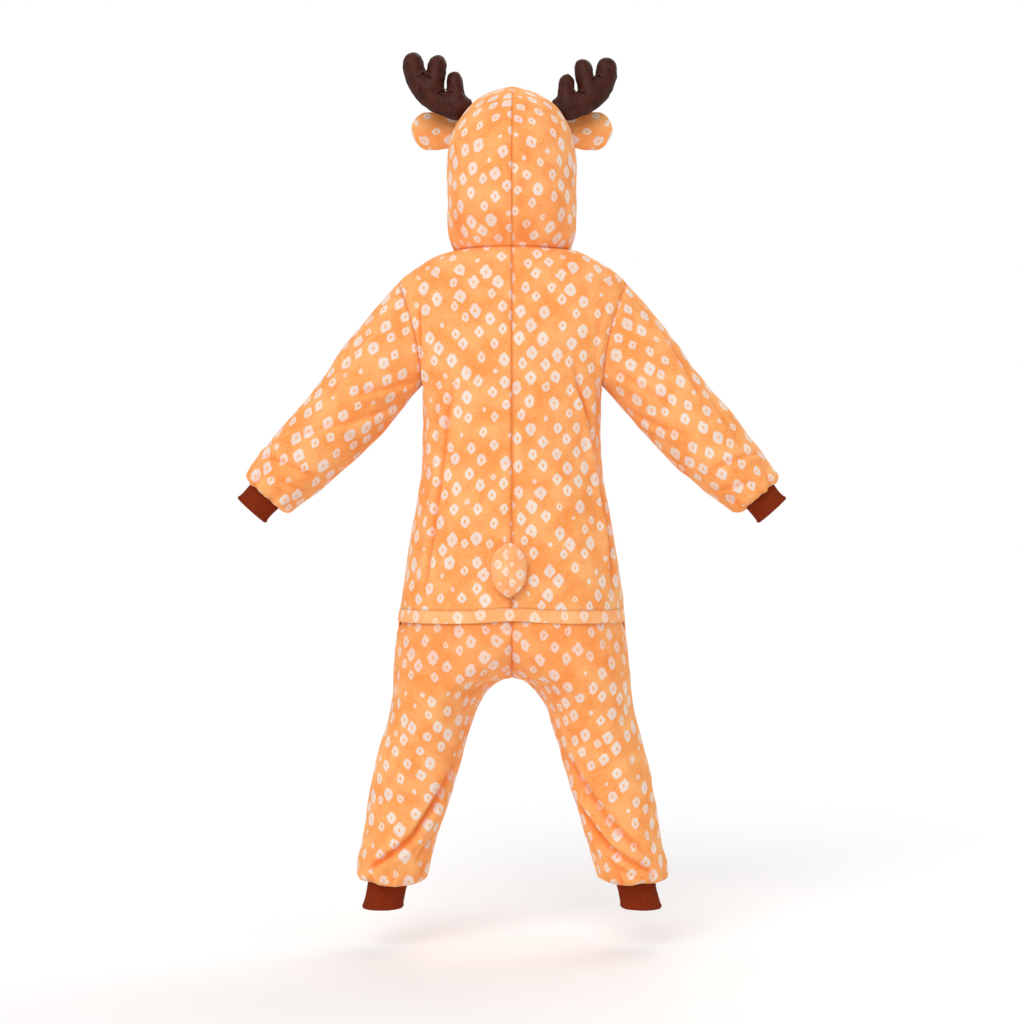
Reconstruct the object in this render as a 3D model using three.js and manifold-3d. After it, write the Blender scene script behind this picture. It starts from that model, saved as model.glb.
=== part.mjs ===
// A child's hooded fawn onesie in brushed fleece, kept in the open shape of somebody standing with
// arms and legs spread. Every cut piece is a thin wall of cloth with its own name.
//
// Millimetres. X points to the wearer's left, -Y to the wearer's front and Z up. The origin is the
// middle of the shoulders at the side of the neck, where the wearer carries the garment.
import * as THREE from 'three';
import { mergeVertices } from 'three/addons/utils/BufferGeometryUtils.js';
import Module from 'manifold-3d';

const wasm = await Module();
wasm.setup();

const V = (x, y, z) => new THREE.Vector3(x, y, z);
const QUARTER = Math.PI / 2;

// Cloth thicknesses, the seam gap, and how finely the walls are divided
const FLEECE = 2;
const RIB_KNIT = 2.2;
const EAR_CLOTH = 1.6;
const HEM_CLOTH = 3.4;
const SEAM_GAP = 0.3;
const COLUMNS = 8;

// Heights
const UNDERARM_Z = -185;
const FLAP_STITCH_Z = -491;
const FLAP_EDGE_Z = -509;
const FLAP_TUCK_Z = -474;
const CROTCH_Z = -587;
const LEG_ROLL_Z = -856;
const PLACKET_END_Z = -410;

// Shoulders and armholes
const SHOULDER_TIP = { x: 157, z: -43 };
const UNDERARM_X = 124;
const ARMHOLE_DEPTH = 54;
const ARMHOLE_CURVE = 1.8;
const SHOULDER_CURVE = 1.5;
const NECK = { halfWidth: 80, front: 72, back: 62, dropFront: -45, riseBack: 5 };

// Crotch: how far the centre seam curves under, how pointed the sections are there and over what
// height, and the arch between the legs
const CROTCH_CURVE = 74;
const CROTCH_POINT = { depth: 1.2, width: 1.8, above: 72, below: 95 };
const ARCH = { half: 35, rise: 50, splay: 0.305 };

// Body and leg sections by height: the side seam's and the deepest line's distance from the middle,
// the deepest point in front and behind, and how square the section is (2 is an ellipse).
const BODY_SECTIONS = [
  { z: -185, side: 124, ridge: 0, front: 98, back: 92, square: 2.3 },
  { z: -240, side: 122, ridge: 0, front: 101, back: 94, square: 2.3 },
  { z: -300, side: 124, ridge: 0, front: 104, back: 97, square: 2.3 },
  { z: -350, side: 132, ridge: 0, front: 108, back: 102, square: 2.3 },
  { z: -420, side: 144, ridge: 0, front: 113, back: 109, square: 2.3 },
  { z: -480, side: 153, ridge: 0, front: 116, back: 115, square: 2.3 },
  { z: -513, side: 156, ridge: 0, front: 116, back: 116, square: 2.3 },
  { z: -547, side: 159.5, ridge: 30, front: 112, back: 114, square: 2.25 },
  { z: -587, side: 163.5, ridge: 78, front: 102, back: 106, square: 2.2 },
  { z: -617, side: 165.5, ridge: 101, front: 91, back: 95, square: 2.15 },
  { z: -647, side: 171.5, ridge: 112, front: 81, back: 84, square: 2.1 },
  { z: -680, side: 181.5, ridge: 122.5, front: 73, back: 75, square: 2.1 },
  { z: -712, side: 189.5, ridge: 131, front: 67, back: 69, square: 2.1 },
  { z: -745, side: 195.5, ridge: 139.5, front: 64, back: 65, square: 2.1 },
  { z: -778, side: 200.5, ridge: 147, front: 61, back: 63, square: 2.1 },
  { z: -811, side: 206, ridge: 155, front: 58, back: 61, square: 2.1 },
  { z: -842, side: 213.5, ridge: 163, front: 57, back: 60, square: 2.2 },
  { z: -856, side: 214, ridge: 165.5, front: 56, back: 59, square: 2.2 },
];

// Sleeve sections by distance along the sleeve's axis: edge above and below the axis, half depth
const SLEEVE_SECTIONS = [
  { along: -42, top: 59.8, lower: 59.8, depth: 54 },
  { along: 0, top: 62, lower: 60, depth: 54 },
  { along: 60, top: 57.5, lower: 60, depth: 54 },
  { along: 120, top: 50.5, lower: 62, depth: 53 },
  { along: 180, top: 48, lower: 60, depth: 51 },
  { along: 240, top: 43, lower: 53, depth: 47 },
  { along: 275, top: 40.5, lower: 45.5, depth: 43 },
  { along: 290, top: 38.5, lower: 42.5, depth: 41 },
];
const SLEEVE_AXIS = { x: 0.669, z: -0.743 };
const SLEEVE_ROLL = { from: 289, deep: 10 };
const SLEEVE_RINGS = [0, 0.07, 0.16, 0.28, 0.42, 0.56, 0.7, 0.82, 0.92, 1];
const SLEEVE_CAP_SHARE = 0.4;
const WRIST = { halfWidth: 26, halfDepth: 22, from: 293, to: 327, waist: 1.2 };

// Leg hem and ankle cuff
const LEG_ROLL_DEEP = 11;
const ANKLE = { x: 170.5, z: -862, halfWidth: 28, front: 31, back: 33, height: 42, lean: 0.22, waist: 1,
  rows: [0, 0.15, 0.55, 1] };

// Hood: its section above the ears, the dome over it and the front edge round the face
const HOOD = { halfWidth: 89, middleY: 10, back: 100, front: 105, domeZ: 112, topZ: 226.5, edgeY: -88,
  edgeDrop: 12, edgeAngle: 140, squareBack: 2.15, squareFront: 3.3, squareDome: 2.2 };
const HOOD_LOWER_ROWS = [0, 0.08, 0.2, 0.42, 0.7];
const HOOD_DOME_ROWS = [0, 18, 36, 54, 72, 90];
const NECK_BULGE = { centre: 2.6, side: 2.6 };

// Folds seen in front or back view: a ridge (or a trough, below 0) along a curve from start to end.
// face is 1 behind and -1 in front; bow moves the middle sideways, towards the left of travel.
const FOLDS = [
  { face: 1, sign: 1, x0: 92, z0: -190, x1: 128, z1: -480, bow: -6, width: 9, height: 3.5 },
  { face: 1, sign: -1, x0: 86, z0: -180, x1: 134, z1: -470, bow: -5, width: 9, height: 3.5 },
  { face: 1, sign: 1, x0: 96, z0: -752, x1: 196, z1: -842, bow: -12, width: 9, height: 5 },
  { face: 1, sign: 1, x0: 92, z0: -712, x1: 192, z1: -820, bow: -16, width: 9, height: -4 },
  { face: 1, sign: -1, x0: 90, z0: -726, x1: 202, z1: -838, bow: -18, width: 9, height: 5 },
  { face: 1, sign: -1, x0: 88, z0: -692, x1: 190, z1: -806, bow: -16, width: 9, height: -4 },
  { face: -1, sign: 1, x0: 96, z0: -195, x1: 122, z1: -520, bow: -4, width: 11, height: 3.5 },
  { face: -1, sign: -1, x0: 92, z0: -195, x1: 126, z1: -500, bow: -6, width: 11, height: 3.5 },
  { face: -1, sign: 1, x0: 100, z0: -740, x1: 198, z1: -842, bow: -12, width: 10, height: 4 },
  { face: -1, sign: -1, x0: 98, z0: -744, x1: 198, z1: -840, bow: -12, width: 10, height: 4 },
];

// Antler: stuffed tines as flat tubes, in its own plane, a outwards and b upwards from the root
const ANTLER_HALF_THICK = 11;
const ANTLER_TINES = [
  { name: 'beam', line: [[-24, -14], [10, -1], [38, 10], [60, 28], [72, 48], [75, 63.5]],
    half: [15, 16.5, 17, 16, 14, 13.3] },
  { name: 'middle', line: [[47, 14], [43, 36], [40, 62]], half: [13, 11.5, 11.8] },
  { name: 'inner', line: [[13, 0], [13.5, 20], [14.4, 41]], half: [12, 10.5, 9.4] },
];
const ANTLERS = [
  { name: 'antler_left', sign: 1, x: 63, y: 0, z: 198, yaw: 0, lean: 4 },
  { name: 'antler_right', sign: -1, x: 61, y: 0, z: 197, yaw: 8, lean: 13 },
];

// Ear: leaf from the hood outwards, with its upper and lower edge about the ear's own middle line
const EAR = { x: 60, y: -26, z: 169, cup: 9, lean: 5 };
const EAR_OUTLINE = [
  { along: 0, top: 18, lower: 20 },
  { along: 14, top: 19.5, lower: 24 },
  { along: 28, top: 21.5, lower: 28 },
  { along: 46, top: 24.5, lower: 29 },
  { along: 61, top: 25, lower: 24.5 },
  { along: 73, top: 20, lower: 13.5 },
  { along: 80, top: 11, lower: 2.5 },
];

const TAIL = { x: 4, topZ: -399, lowZ: -479, halfWidth: 24.5, thick: 30, lift: 11 };
const PLACKET_HALF = 13;
const BUTTON = { radius: 8, rim: 3, dish: 2.1, count: 6 };

const COLOURS = { fawn: 0xfba861, rib: 0x7c2d17, antler: 0x45241d, lining: 0xf1e7df, button: 0x5f2a18 };

// Small helpers for numbers, tables and curves

const clamp = (value, low = 0, high = 1) => Math.min(high, Math.max(low, value));
const mix = (a, b, t) => a + (b - a) * t;
const smooth = (t) => clamp(t) ** 2 * (3 - 2 * clamp(t));
const power = (value, exponent) => Math.sign(value) * Math.abs(value) ** exponent;
const steps = (count) => Array.from({ length: count + 1 }, (_, i) => i / count);
const radians = THREE.MathUtils.degToRad;

// Reads one named column of a table as a smooth curve of another column
function readTable(table, key, column, at) {
  const rows = [...table].sort((a, b) => a[key] - b[key]);
  const last = rows.length - 1;
  const x = clamp(at, rows[0][key], rows[last][key]);
  const i = Math.min(last - 1, rows.findIndex((row, k) => k === last || x <= rows[k + 1][key]));
  const slope = (k) => (rows[k + 1][column] - rows[k][column]) / (rows[k + 1][key] - rows[k][key]);
  const tangent = (k) => {
    if (k === 0) return slope(0);
    if (k === last) return slope(last - 1);
    const [before, after] = [slope(k - 1), slope(k)];
    return before * after <= 0 ? 0 : (2 * before * after) / (before + after);
  };
  const span = rows[i + 1][key] - rows[i][key];
  const t = (x - rows[i][key]) / span;
  const [a, b] = [rows[i][column], rows[i + 1][column]];
  const [ta, tb] = [tangent(i) * span, tangent(i + 1) * span];
  return a * (1 - t) ** 2 * (1 + 2 * t) + ta * t * (1 - t) ** 2
    + b * t ** 2 * (3 - 2 * t) - tb * t ** 2 * (1 - t);
}

// Body: levels and the points of one section

// The arch's edge, or inseam, at a depth below the crotch
function inseamX(z) {
  const depth = Math.max(0, CROTCH_Z - z);
  const share = clamp(depth / ARCH.rise);
  return ARCH.splay * depth + ARCH.half * Math.sqrt(1 - (1 - share) ** 2);
}

// A body level that lies between the leg hem and the underarm
function trunkLevel(z) {
  const read = (column) => readTable(BODY_SECTIONS, 'z', column, z);
  const above = z - CROTCH_Z;
  const square = read('square');
  const pointed = smooth(1 - Math.abs(above) / (above > 0 ? CROTCH_POINT.above : CROTCH_POINT.below));
  const [depthPower, widthPower] = [CROTCH_POINT.depth, CROTCH_POINT.width].map((n) => mix(square, n, pointed));
  const seamDepth = Math.sqrt(1 - clamp(1 - above / CROTCH_CURVE) ** 2);
  const lobe = above < 0 ? 1 : (1 - seamDepth ** depthPower) ** (1 / widthPower);
  return { z, side: read('side'), ridge: read('ridge'), inner: inseamX(z), front: read('front'),
    back: read('back'), square, depthPower, widthPower, lobe, tiltFront: 0, tiltBack: 0, cut: 0 };
}

// The leg's lower edge rolls under and in to the ankle cuff
function hemLevel(angle) {
  const above = trunkLevel(LEG_ROLL_Z);
  const wide = Math.cos(angle) ** 0.8;
  const z = LEG_ROLL_Z - LEG_ROLL_DEEP * Math.sin(angle);
  const cuff = ankleRing(z);
  const edge = SEAM_GAP;
  const square = mix(2, above.square, wide);
  return { ...above, z, square, depthPower: square, widthPower: square,
    ridge: mix(cuff.x, above.ridge, wide),
    side: mix(cuff.x + cuff.halfWidth + edge, above.side, wide),
    inner: mix(cuff.x - cuff.halfWidth - edge, above.inner, wide),
    front: mix(cuff.front + edge, above.front, wide),
    back: mix(cuff.back + edge, above.back, wide) };
}

function ankleRing(z) {
  const down = (ANKLE.z - z) / ANKLE.height;
  const waist = ANKLE.waist * Math.sin(Math.PI * clamp(down));
  const lean = ANKLE.lean * Math.max(0, down - ANKLE.rows[1]) * ANKLE.height;
  return { x: ANKLE.x + lean, halfWidth: ANKLE.halfWidth - waist,
    front: ANKLE.front - waist, back: ANKLE.back - waist };
}

// Levels beside the armhole, from the underarm (0) to the shoulder tip (pi)
function armholeLevel(angle) {
  const up = (1 - Math.cos(angle)) / 2;
  const square = mix(2.3, 2.15, up);
  return { z: mix(UNDERARM_Z, SHOULDER_TIP.z, up),
    side: mix(UNDERARM_X, SHOULDER_TIP.x, up ** ARMHOLE_CURVE), inner: 0, ridge: 0,
    front: mix(98, 86, up), back: mix(92, 79, up), square, depthPower: square, widthPower: square, lobe: 0,
    tiltFront: -38 * up ** 2, tiltBack: 8 * up ** 2,
    cut: ARMHOLE_DEPTH * Math.sin(angle) ** 0.9 };
}

// Levels above the shoulder tip; the last is the neckline
function shoulderLevel(share) {
  const z = mix(SHOULDER_TIP.z, 0, share);
  const out = (z / SHOULDER_TIP.z) ** (1 / SHOULDER_CURVE);
  return { z, side: mix(NECK.halfWidth, SHOULDER_TIP.x, out), inner: 0, ridge: 0,
    front: mix(86, NECK.front, share ** 1.6), back: mix(79, NECK.back, share ** 1.6),
    square: 2.15, depthPower: 2.15, widthPower: 2.15, lobe: 0, cut: 0,
    tiltFront: mix(-38, NECK.dropFront, share), tiltBack: mix(8, NECK.riseBack, share) };
}

// One point of a level: face is 1 behind and -1 in front, t runs from the middle (or the inseam)
// to the side seam (or the armhole).
function bodyPoint(level, face, t) {
  const depth = face > 0 ? level.back : level.front;
  const tilt = face > 0 ? level.tiltBack : level.tiltFront;
  const n = level.square;
  const { ridge } = level;
  const start = ridge === 0 ? QUARTER : Math.acos(-(level.lobe ** (level.widthPower / 2)));
  const cutShare = clamp(level.cut / depth);
  const end = Math.asin(cutShare ** (n / 2));
  const reach = (1 - cutShare ** n) ** (1 / n);
  const outerHalf = (level.side - ridge) / reach;
  const innerHalf = (ridge - level.inner) / level.lobe;
  const spread = 1 + 2 * (start / QUARTER - 1);
  const angle = mix(Math.PI, end, t) - (Math.PI - start) * (1 - t) ** spread;
  const isInner = angle > QUARTER;
  const across = power(Math.cos(angle), 2 / (isInner ? level.widthPower : n));
  const x = t === 0 ? level.inner : ridge + (isInner ? innerHalf : outerHalf) * across;
  const y = face * depth * Math.abs(Math.sin(angle)) ** (2 / (isInner ? level.depthPower : n));
  const lift = tilt * (1 - clamp(x / level.side) ** 2);
  return V(x, t === 1 ? face * level.cut : y, level.z + lift);
}

// A net is a table of outer points: rows upwards or outwards, columns across
const bodyNet = (levels, face) => levels.map((level) => steps(COLUMNS).map((t) => bodyPoint(level, face, t)));

const HEM_LEVELS = [90, 62, 32].map((degrees) => hemLevel(radians(degrees)));
const LEG_LEVELS = [-856, -840, -815, -785, -750, -715, -680, -650].map(trunkLevel);
const ARCH_LEVELS = [38, 22, 9, 2.5, 0].map((down) => trunkLevel(CROTCH_Z - down));
const SEAT_LEVELS = [-583.5, -575, -557, -533].map(trunkLevel);
const FLAP_LEVELS = [FLAP_EDGE_Z, FLAP_STITCH_Z].map(trunkLevel);
const TRUNK_LEVELS = [-450, -405, -355, -305, -260, -220].map(trunkLevel);
const ARMHOLE_LEVELS = steps(COLUMNS).map((t) => armholeLevel(Math.PI * t));
const SHOULDER_LEVELS = [0.3, 0.65, 1].map(shoulderLevel);

const LOWER_LEVELS = [...HEM_LEVELS, ...LEG_LEVELS, ...ARCH_LEVELS, ...SEAT_LEVELS];
const UPPER_LEVELS = [...TRUNK_LEVELS, ...ARMHOLE_LEVELS, ...SHOULDER_LEVELS];

// The seat goes up behind the flap's hem, one cloth and a gap further in
const TUCK = FLEECE + 2 * SEAM_GAP;
const tucked = (level, inset) => ({ ...level, side: level.side - inset, back: level.back - inset });
const SEAT_ALL_LEVELS = [...LOWER_LEVELS.slice(0, -1), tucked(LOWER_LEVELS.at(-1), TUCK * 0.35),
  tucked(trunkLevel(FLAP_EDGE_Z - 4), TUCK), tucked(trunkLevel(FLAP_TUCK_Z), TUCK)];

// Sleeve: a tube from the armhole loop to the rolled edge over the wrist cuff

const sleeveOrigin = V((SHOULDER_TIP.x + UNDERARM_X) / 2, 0, (SHOULDER_TIP.z + UNDERARM_Z) / 2);
const sleeveAlong = V(SLEEVE_AXIS.x, 0, SLEEVE_AXIS.z).normalize();
const sleeveUp = V(-sleeveAlong.z, 0, sleeveAlong.x);
const sleevePoint = (along, up, y) => sleeveOrigin.clone()
  .addScaledVector(sleeveAlong, along).addScaledVector(sleeveUp, up).add(V(0, y, 0));

function sleeveNet() {
  const back = ARMHOLE_LEVELS.map((level) => bodyPoint(level, 1, 1));
  const front = ARMHOLE_LEVELS.map((level) => bodyPoint(level, -1, 1));
  const loop = [...back, ...front.slice(1, -1).reverse()];
  const ring = (share, narrow, further) => loop.map((point, k) => {
    const angle = (2 * Math.PI * k) / loop.length;
    const offset = point.clone().sub(sleeveOrigin);
    const [along0, up0] = [offset.dot(sleeveAlong), offset.dot(sleeveUp)];
    const along = mix(along0, SLEEVE_ROLL.from, share);
    const read = (column) => readTable(SLEEVE_SECTIONS, 'along', column, along);
    const edge = SEAM_GAP;
    const top = mix(WRIST.halfWidth + edge, read('top'), narrow);
    const lower = mix(WRIST.halfWidth + edge, read('lower'), narrow);
    const depth = mix(WRIST.halfDepth + edge, read('depth'), narrow);
    const up = (top - lower) / 2 - ((top + lower) / 2) * Math.cos(angle);
    const y = depth * Math.sin(angle);
    const own = smooth(share / SLEEVE_CAP_SHARE);
    return share === 0 ? point : sleevePoint(along + further, mix(up0, up, own), mix(point.y, y, own));
  });
  const body = SLEEVE_RINGS.map((share) => ring(share, 1, 0));
  const rolled = [32, 62, 90].map(radians).map((angle) =>
    ring(1, Math.cos(angle) ** 0.8, SLEEVE_ROLL.deep * Math.sin(angle)));
  return [...body, ...rolled];
}

// Hood half: columns follow the neckline from the middle of the back to the middle of the front

function hoodSection(degrees) {
  const angle = radians(degrees);
  const isBack = degrees <= 90;
  const n = isBack ? HOOD.squareBack : HOOD.squareFront;
  const reach = isBack ? HOOD.back : HOOD.front;
  const x = HOOD.halfWidth * Math.sin(angle) ** (2 / n);
  return V(x, HOOD.middleY + reach * power(Math.cos(angle), 2 / n), HOOD.domeZ);
}

function hoodNet() {
  const neckBack = steps(COLUMNS).map((t) => bodyPoint(shoulderLevel(1), 1, t));
  const neckFront = steps(COLUMNS).map((t) => bodyPoint(shoulderLevel(1), -1, 1 - t));
  const neck = [...neckBack, ...neckFront.slice(1)];
  const degrees = [...steps(COLUMNS).map((t) => 90 * t),
    ...steps(COLUMNS).slice(1).map((t) => mix(90, HOOD.edgeAngle, t))];
  const section = degrees.map(hoodSection);
  const lower = HOOD_LOWER_ROWS.map((up) => neck.map((foot, j) => {
    const bulge = NECK_BULGE.centre + NECK_BULGE.side * Math.sin(radians(degrees[j])) ** 2;
    const out = 1 - (1 - up) ** bulge;
    return V(mix(foot.x, section[j].x, out), mix(foot.y, section[j].y, out), mix(foot.z, HOOD.domeZ, up));
  }));
  const dome = HOOD_DOME_ROWS.map(radians).map((angle) => section.map((side, j) => {
    const u = j / (section.length - 1);
    const topY = mix(HOOD.middleY, HOOD.edgeY, u);
    const topZ = HOOD.topZ - HOOD.edgeDrop * u ** 2;
    const n = HOOD.squareDome;
    const flat = Math.abs(Math.cos(angle)) ** (2 / n);
    const isSeam = j === 0 || angle === QUARTER;
    return V(isSeam ? 0 : side.x * flat, mix(topY, side.y, angle === QUARTER ? 0 : flat),
      mix(HOOD.domeZ, topZ, Math.sin(angle) ** (2 / n)));
  }));
  return [...lower, ...dome];
}

// Normals, folds and walls

// The outward direction at each point of a net, from its neighbours
function netNormals(net, isTube, flip) {
  const last = net.length - 1;
  const wide = net[0].length;
  return net.map((row, i) => row.map((_, j) => {
    const along = net[Math.min(last, i + 1)][j].clone().sub(net[Math.max(0, i - 1)][j]);
    const [left, right] = isTube ? [(j + wide - 1) % wide, (j + 1) % wide]
      : [Math.max(0, j - 1), Math.min(wide - 1, j + 1)];
    const across = row[right].clone().sub(row[left]);
    return across.cross(along).normalize().multiplyScalar(flip ? -1 : 1);
  }));
}

// Pieces that meet at a seam share one direction there, so their edges stay side by side
function shareSeamNormals(pieces) {
  const key = (p) => [p.x, p.y, p.z].map((value) => Math.round(value * 20)).join();
  const shared = new Map();
  const visit = (action) => pieces.forEach((piece) => piece.net.forEach((row, i) => row.forEach(
    (point, j) => action(key(point), point, piece, i, j))));
  visit((name, point, piece, i, j) => {
    const entry = shared.get(name) ?? { trunk: V(0, 0, 0), limb: V(0, 0, 0), own: [] };
    entry[piece.joins].add(piece.normals[i][j]);
    entry.own.push(piece.normals[i][j].clone());
    shared.set(name, entry);
  });
  visit((name, point, piece, i, j) => {
    const { trunk, limb, own } = shared.get(name);
    const direction = trunk.clone().normalize().add(limb.clone().normalize());
    if (Math.abs(point.x) < 1e-6) direction.x = 0;
    if (Math.abs(point.y) < 1e-6) direction.y = 0;
    if (point.distanceTo(V(0, 0, CROTCH_Z)) < 1e-6) direction.set(0, 0, -1);
    direction.normalize();
    const agree = own.reduce((total, normal) => total + normal.dot(direction), 0) / own.length;
    piece.normals[i][j] = direction.multiplyScalar(1 / Math.max(0.72, agree));
  });
}

// How far the folds lift the cloth at a point
function foldLift(point, normal, sign) {
  return FOLDS.filter((fold) => fold.sign === sign).reduce((total, fold) => {
    const facing = smooth((normal.y * fold.face - 0.1) / 0.4);
    if (facing === 0) return total;
    const [dx, dz] = [fold.x1 - fold.x0, fold.z1 - fold.z0];
    const length = Math.hypot(dx, dz);
    const [px, pz] = [point.x - fold.x0, point.z - fold.z0];
    const t = (px * dx + pz * dz) / length ** 2;
    const side = (pz * dx - px * dz) / length;
    const away = side - fold.bow * 4 * t * (1 - t);
    const ends = smooth(t / 0.2) * smooth((1 - t) / 0.2);
    return total + fold.height * facing * ends * Math.exp(-((away / fold.width) ** 2));
  }, 0);
}

// A closed wall: the outer net, a second net one thickness further in, and a strip round the edges
function wall(piece) {
  const { net, normals, thick, isTube, inset = SEAM_GAP / 2 } = piece;
  const high = net.length;
  const wide = net[0].length;
  const outer = net.map((row, i) => row.map((point, j) => {
    const moved = point.clone();
    const nudge = (before, after, inside) => {
      const seam = before.clone().sub(after);
      const aside = seam.cross(normals[i][j]).normalize();
      const towards = inside.clone().sub(point);
      moved.addScaledVector(aside, Math.sign(aside.dot(towards)) * inset);
    };
    const left = isTube ? (j + wide - 1) % wide : Math.max(0, j - 1);
    const right = isTube ? (j + 1) % wide : Math.min(wide - 1, j + 1);
    if (i === 0) nudge(row[left], row[right], net[1][j]);
    if (i === high - 1) nudge(row[left], row[right], net[high - 2][j]);
    const [below, above] = [net[Math.max(0, i - 1)][j], net[Math.min(high - 1, i + 1)][j]];
    if (!isTube && j === 0) nudge(below, above, row[1]);
    if (!isTube && j === wide - 1) nudge(below, above, row[wide - 2]);
    return moved;
  }));
  const inner = outer.map((row, i) => row.map((point, j) =>
    point.clone().addScaledVector(normals[i][j], -thick)));
  return solidBetween(outer, inner, isTube, piece.flip);
}

function solidBetween(outer, inner, isTube, flip) {
  const high = outer.length;
  const wide = outer[0].length;
  const points = [...outer.flat(), ...inner.flat()];
  const under = high * wide;
  const at = (i, j, layer) => layer * under + i * wide + ((j + wide) % wide);
  const faces = [];
  const quad = (a, b, c, d) => faces.push(...(flip ? [a, c, b, a, d, c] : [a, b, c, a, c, d]));
  const across = isTube ? wide : wide - 1;
  for (let i = 0; i < high - 1; i += 1) {
    for (let j = 0; j < across; j += 1) {
      quad(at(i, j, 0), at(i, j + 1, 0), at(i + 1, j + 1, 0), at(i + 1, j, 0));
      quad(at(i, j, 1), at(i + 1, j, 1), at(i + 1, j + 1, 1), at(i, j + 1, 1));
    }
  }
  for (let j = 0; j < across; j += 1) {
    quad(at(0, j, 1), at(0, j + 1, 1), at(0, j + 1, 0), at(0, j, 0));
    quad(at(high - 1, j, 0), at(high - 1, j + 1, 0), at(high - 1, j + 1, 1), at(high - 1, j, 1));
  }
  for (let i = 0; i < high - 1 && !isTube; i += 1) {
    quad(at(i, 0, 1), at(i, 0, 0), at(i + 1, 0, 0), at(i + 1, 0, 1));
    quad(at(i, wide - 1, 0), at(i, wide - 1, 1), at(i + 1, wide - 1, 1), at(i + 1, wide - 1, 0));
  }
  return geometryOf(points, faces);
}

function geometryOf(points, faces) {
  const geometry = new THREE.BufferGeometry();
  geometry.setAttribute('position', new THREE.Float32BufferAttribute(points.flatMap((p) => [p.x, p.y, p.z]), 3));
  geometry.setIndex(faces);
  return geometry;
}

const mirrored = (net) => net.map((row) => row.map((p) => V(-p.x, p.y, p.z)));

const garment = new THREE.Group();

function addPiece(name, geometry, colour, roughness = 0.9) {
  const material = new THREE.MeshStandardMaterial({ color: colour, roughness, metalness: 0 });
  const mesh = new THREE.Mesh(geometry, material);
  mesh.name = name;
  garment.add(mesh);
  return mesh;
}

// The sewn shell, one half at a time: nets, folds, then walls

const frontLevels = [...LOWER_LEVELS, ...FLAP_LEVELS, ...UPPER_LEVELS];
const backLevels = [FLAP_LEVELS[1], ...UPPER_LEVELS];

function shellPieces(side, sign) {
  const half = (net) => (sign > 0 ? net : mirrored(net));
  const piece = (name, net, flip, isTube = false) => ({ name: `${name}_${side}`, net: half(net),
    joins: ['hood', 'sleeve'].includes(name) ? 'limb' : 'trunk',
    inset: name === 'sleeve' ? SEAM_GAP : SEAM_GAP / 2,
    thick: FLEECE, isTube, flip: sign > 0 ? flip : !flip });
  return [
    piece('front', bodyNet(frontLevels, -1), false),
    piece('seat', bodyNet(SEAT_ALL_LEVELS, 1), true),
    piece('back', bodyNet(backLevels, 1), true),
    piece('sleeve', sleeveNet(), false, true),
    piece('hood', hoodNet(), true),
  ];
}

function settle(pieces) {
  pieces.forEach((piece) => { piece.normals = netNormals(piece.net, piece.isTube, piece.flip); });
  shareSeamNormals(pieces);
}

function foldedShell(side, sign) {
  const pieces = shellPieces(side, sign);
  settle(pieces);
  pieces.forEach((piece) => {
    if (piece.name.startsWith('hood') || piece.name.startsWith('sleeve')) return;
    piece.net = piece.net.map((row, i) => row.map((point, j) => {
      const normal = piece.normals[i][j];
      const across = V(point.x * sign, point.y, point.z);
      return point.clone().addScaledVector(normal, foldLift(across, normal, sign));
    }));
  });
  settle(pieces);
  return pieces;
}

const shells = [foldedShell('left', 1), foldedShell('right', -1)];
shells.flat().forEach((piece) => addPiece(piece.name, wall(piece), COLOURS.fawn));

// Ribbed cuffs, as tubes inside the rolled edges of the sleeves and legs

const cuffAngles = steps(2 * COLUMNS).slice(0, -1).map((t) => 2 * Math.PI * t);

function wristNet() {
  return steps(2).map((t) => cuffAngles.map((angle) => {
    const waist = WRIST.waist * Math.sin(Math.PI * t);
    return sleevePoint(mix(WRIST.from, WRIST.to, t), -(WRIST.halfWidth - waist) * Math.cos(angle),
      (WRIST.halfDepth - waist) * Math.sin(angle));
  }));
}

function ankleNet() {
  return ANKLE.rows.map((t) => {
    const z = ANKLE.z - ANKLE.height * t;
    const ring = ankleRing(z);
    return cuffAngles.map((angle) => V(ring.x - ring.halfWidth * Math.cos(angle),
      (Math.sin(angle) > 0 ? ring.back : ring.front) * Math.sin(angle), z));
  });
}

[['left', 1], ['right', -1]].forEach(([side, sign]) => {
  [['wrist_cuff', wristNet(), false], ['ankle_cuff', ankleNet(), false]].forEach(([name, net, flip]) => {
    const turned = sign > 0 ? flip : !flip;
    const cuff = { net: sign > 0 ? net : mirrored(net), thick: RIB_KNIT, isTube: true, flip: turned };
    cuff.normals = netNormals(cuff.net, true, turned);
    addPiece(`${name}_${side}`, wall(cuff), COLOURS.rib, 0.85);
  });
});

// The hem of the back flap: a doubled band from side seam to side seam, over the seat

function flapHemNet() {
  const levels = [mix(FLAP_EDGE_Z, FLAP_STITCH_Z, 1), mix(FLAP_EDGE_Z, FLAP_STITCH_Z, 0.5), FLAP_EDGE_Z];
  const proud = HEM_CLOTH - FLEECE;
  return levels.reverse().map((z) => {
    const level = trunkLevel(z);
    const grown = { ...level, side: level.side + proud, back: level.back + proud };
    const left = steps(COLUMNS).map((t) => {
      const point = bodyPoint(grown, 1, t);
      const lift = foldLift(point, V(0, 1, 0), 1);
      return point.add(V(0, lift, 0));
    });
    return [...left.slice(1).reverse().map((p) => V(-p.x, p.y, p.z)), ...left];
  });
}

const flapHem = { net: flapHemNet(), thick: HEM_CLOTH, isTube: false, flip: true };
flapHem.normals = netNormals(flapHem.net, false, true);
flapHem.normals.forEach((row) => [row[0], row.at(-1)].forEach((n) => n.setY(0).normalize()));
addPiece('flap_hem', wall(flapHem), COLOURS.fawn);

// Front button band, laid on both fronts, and its buttons

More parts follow.
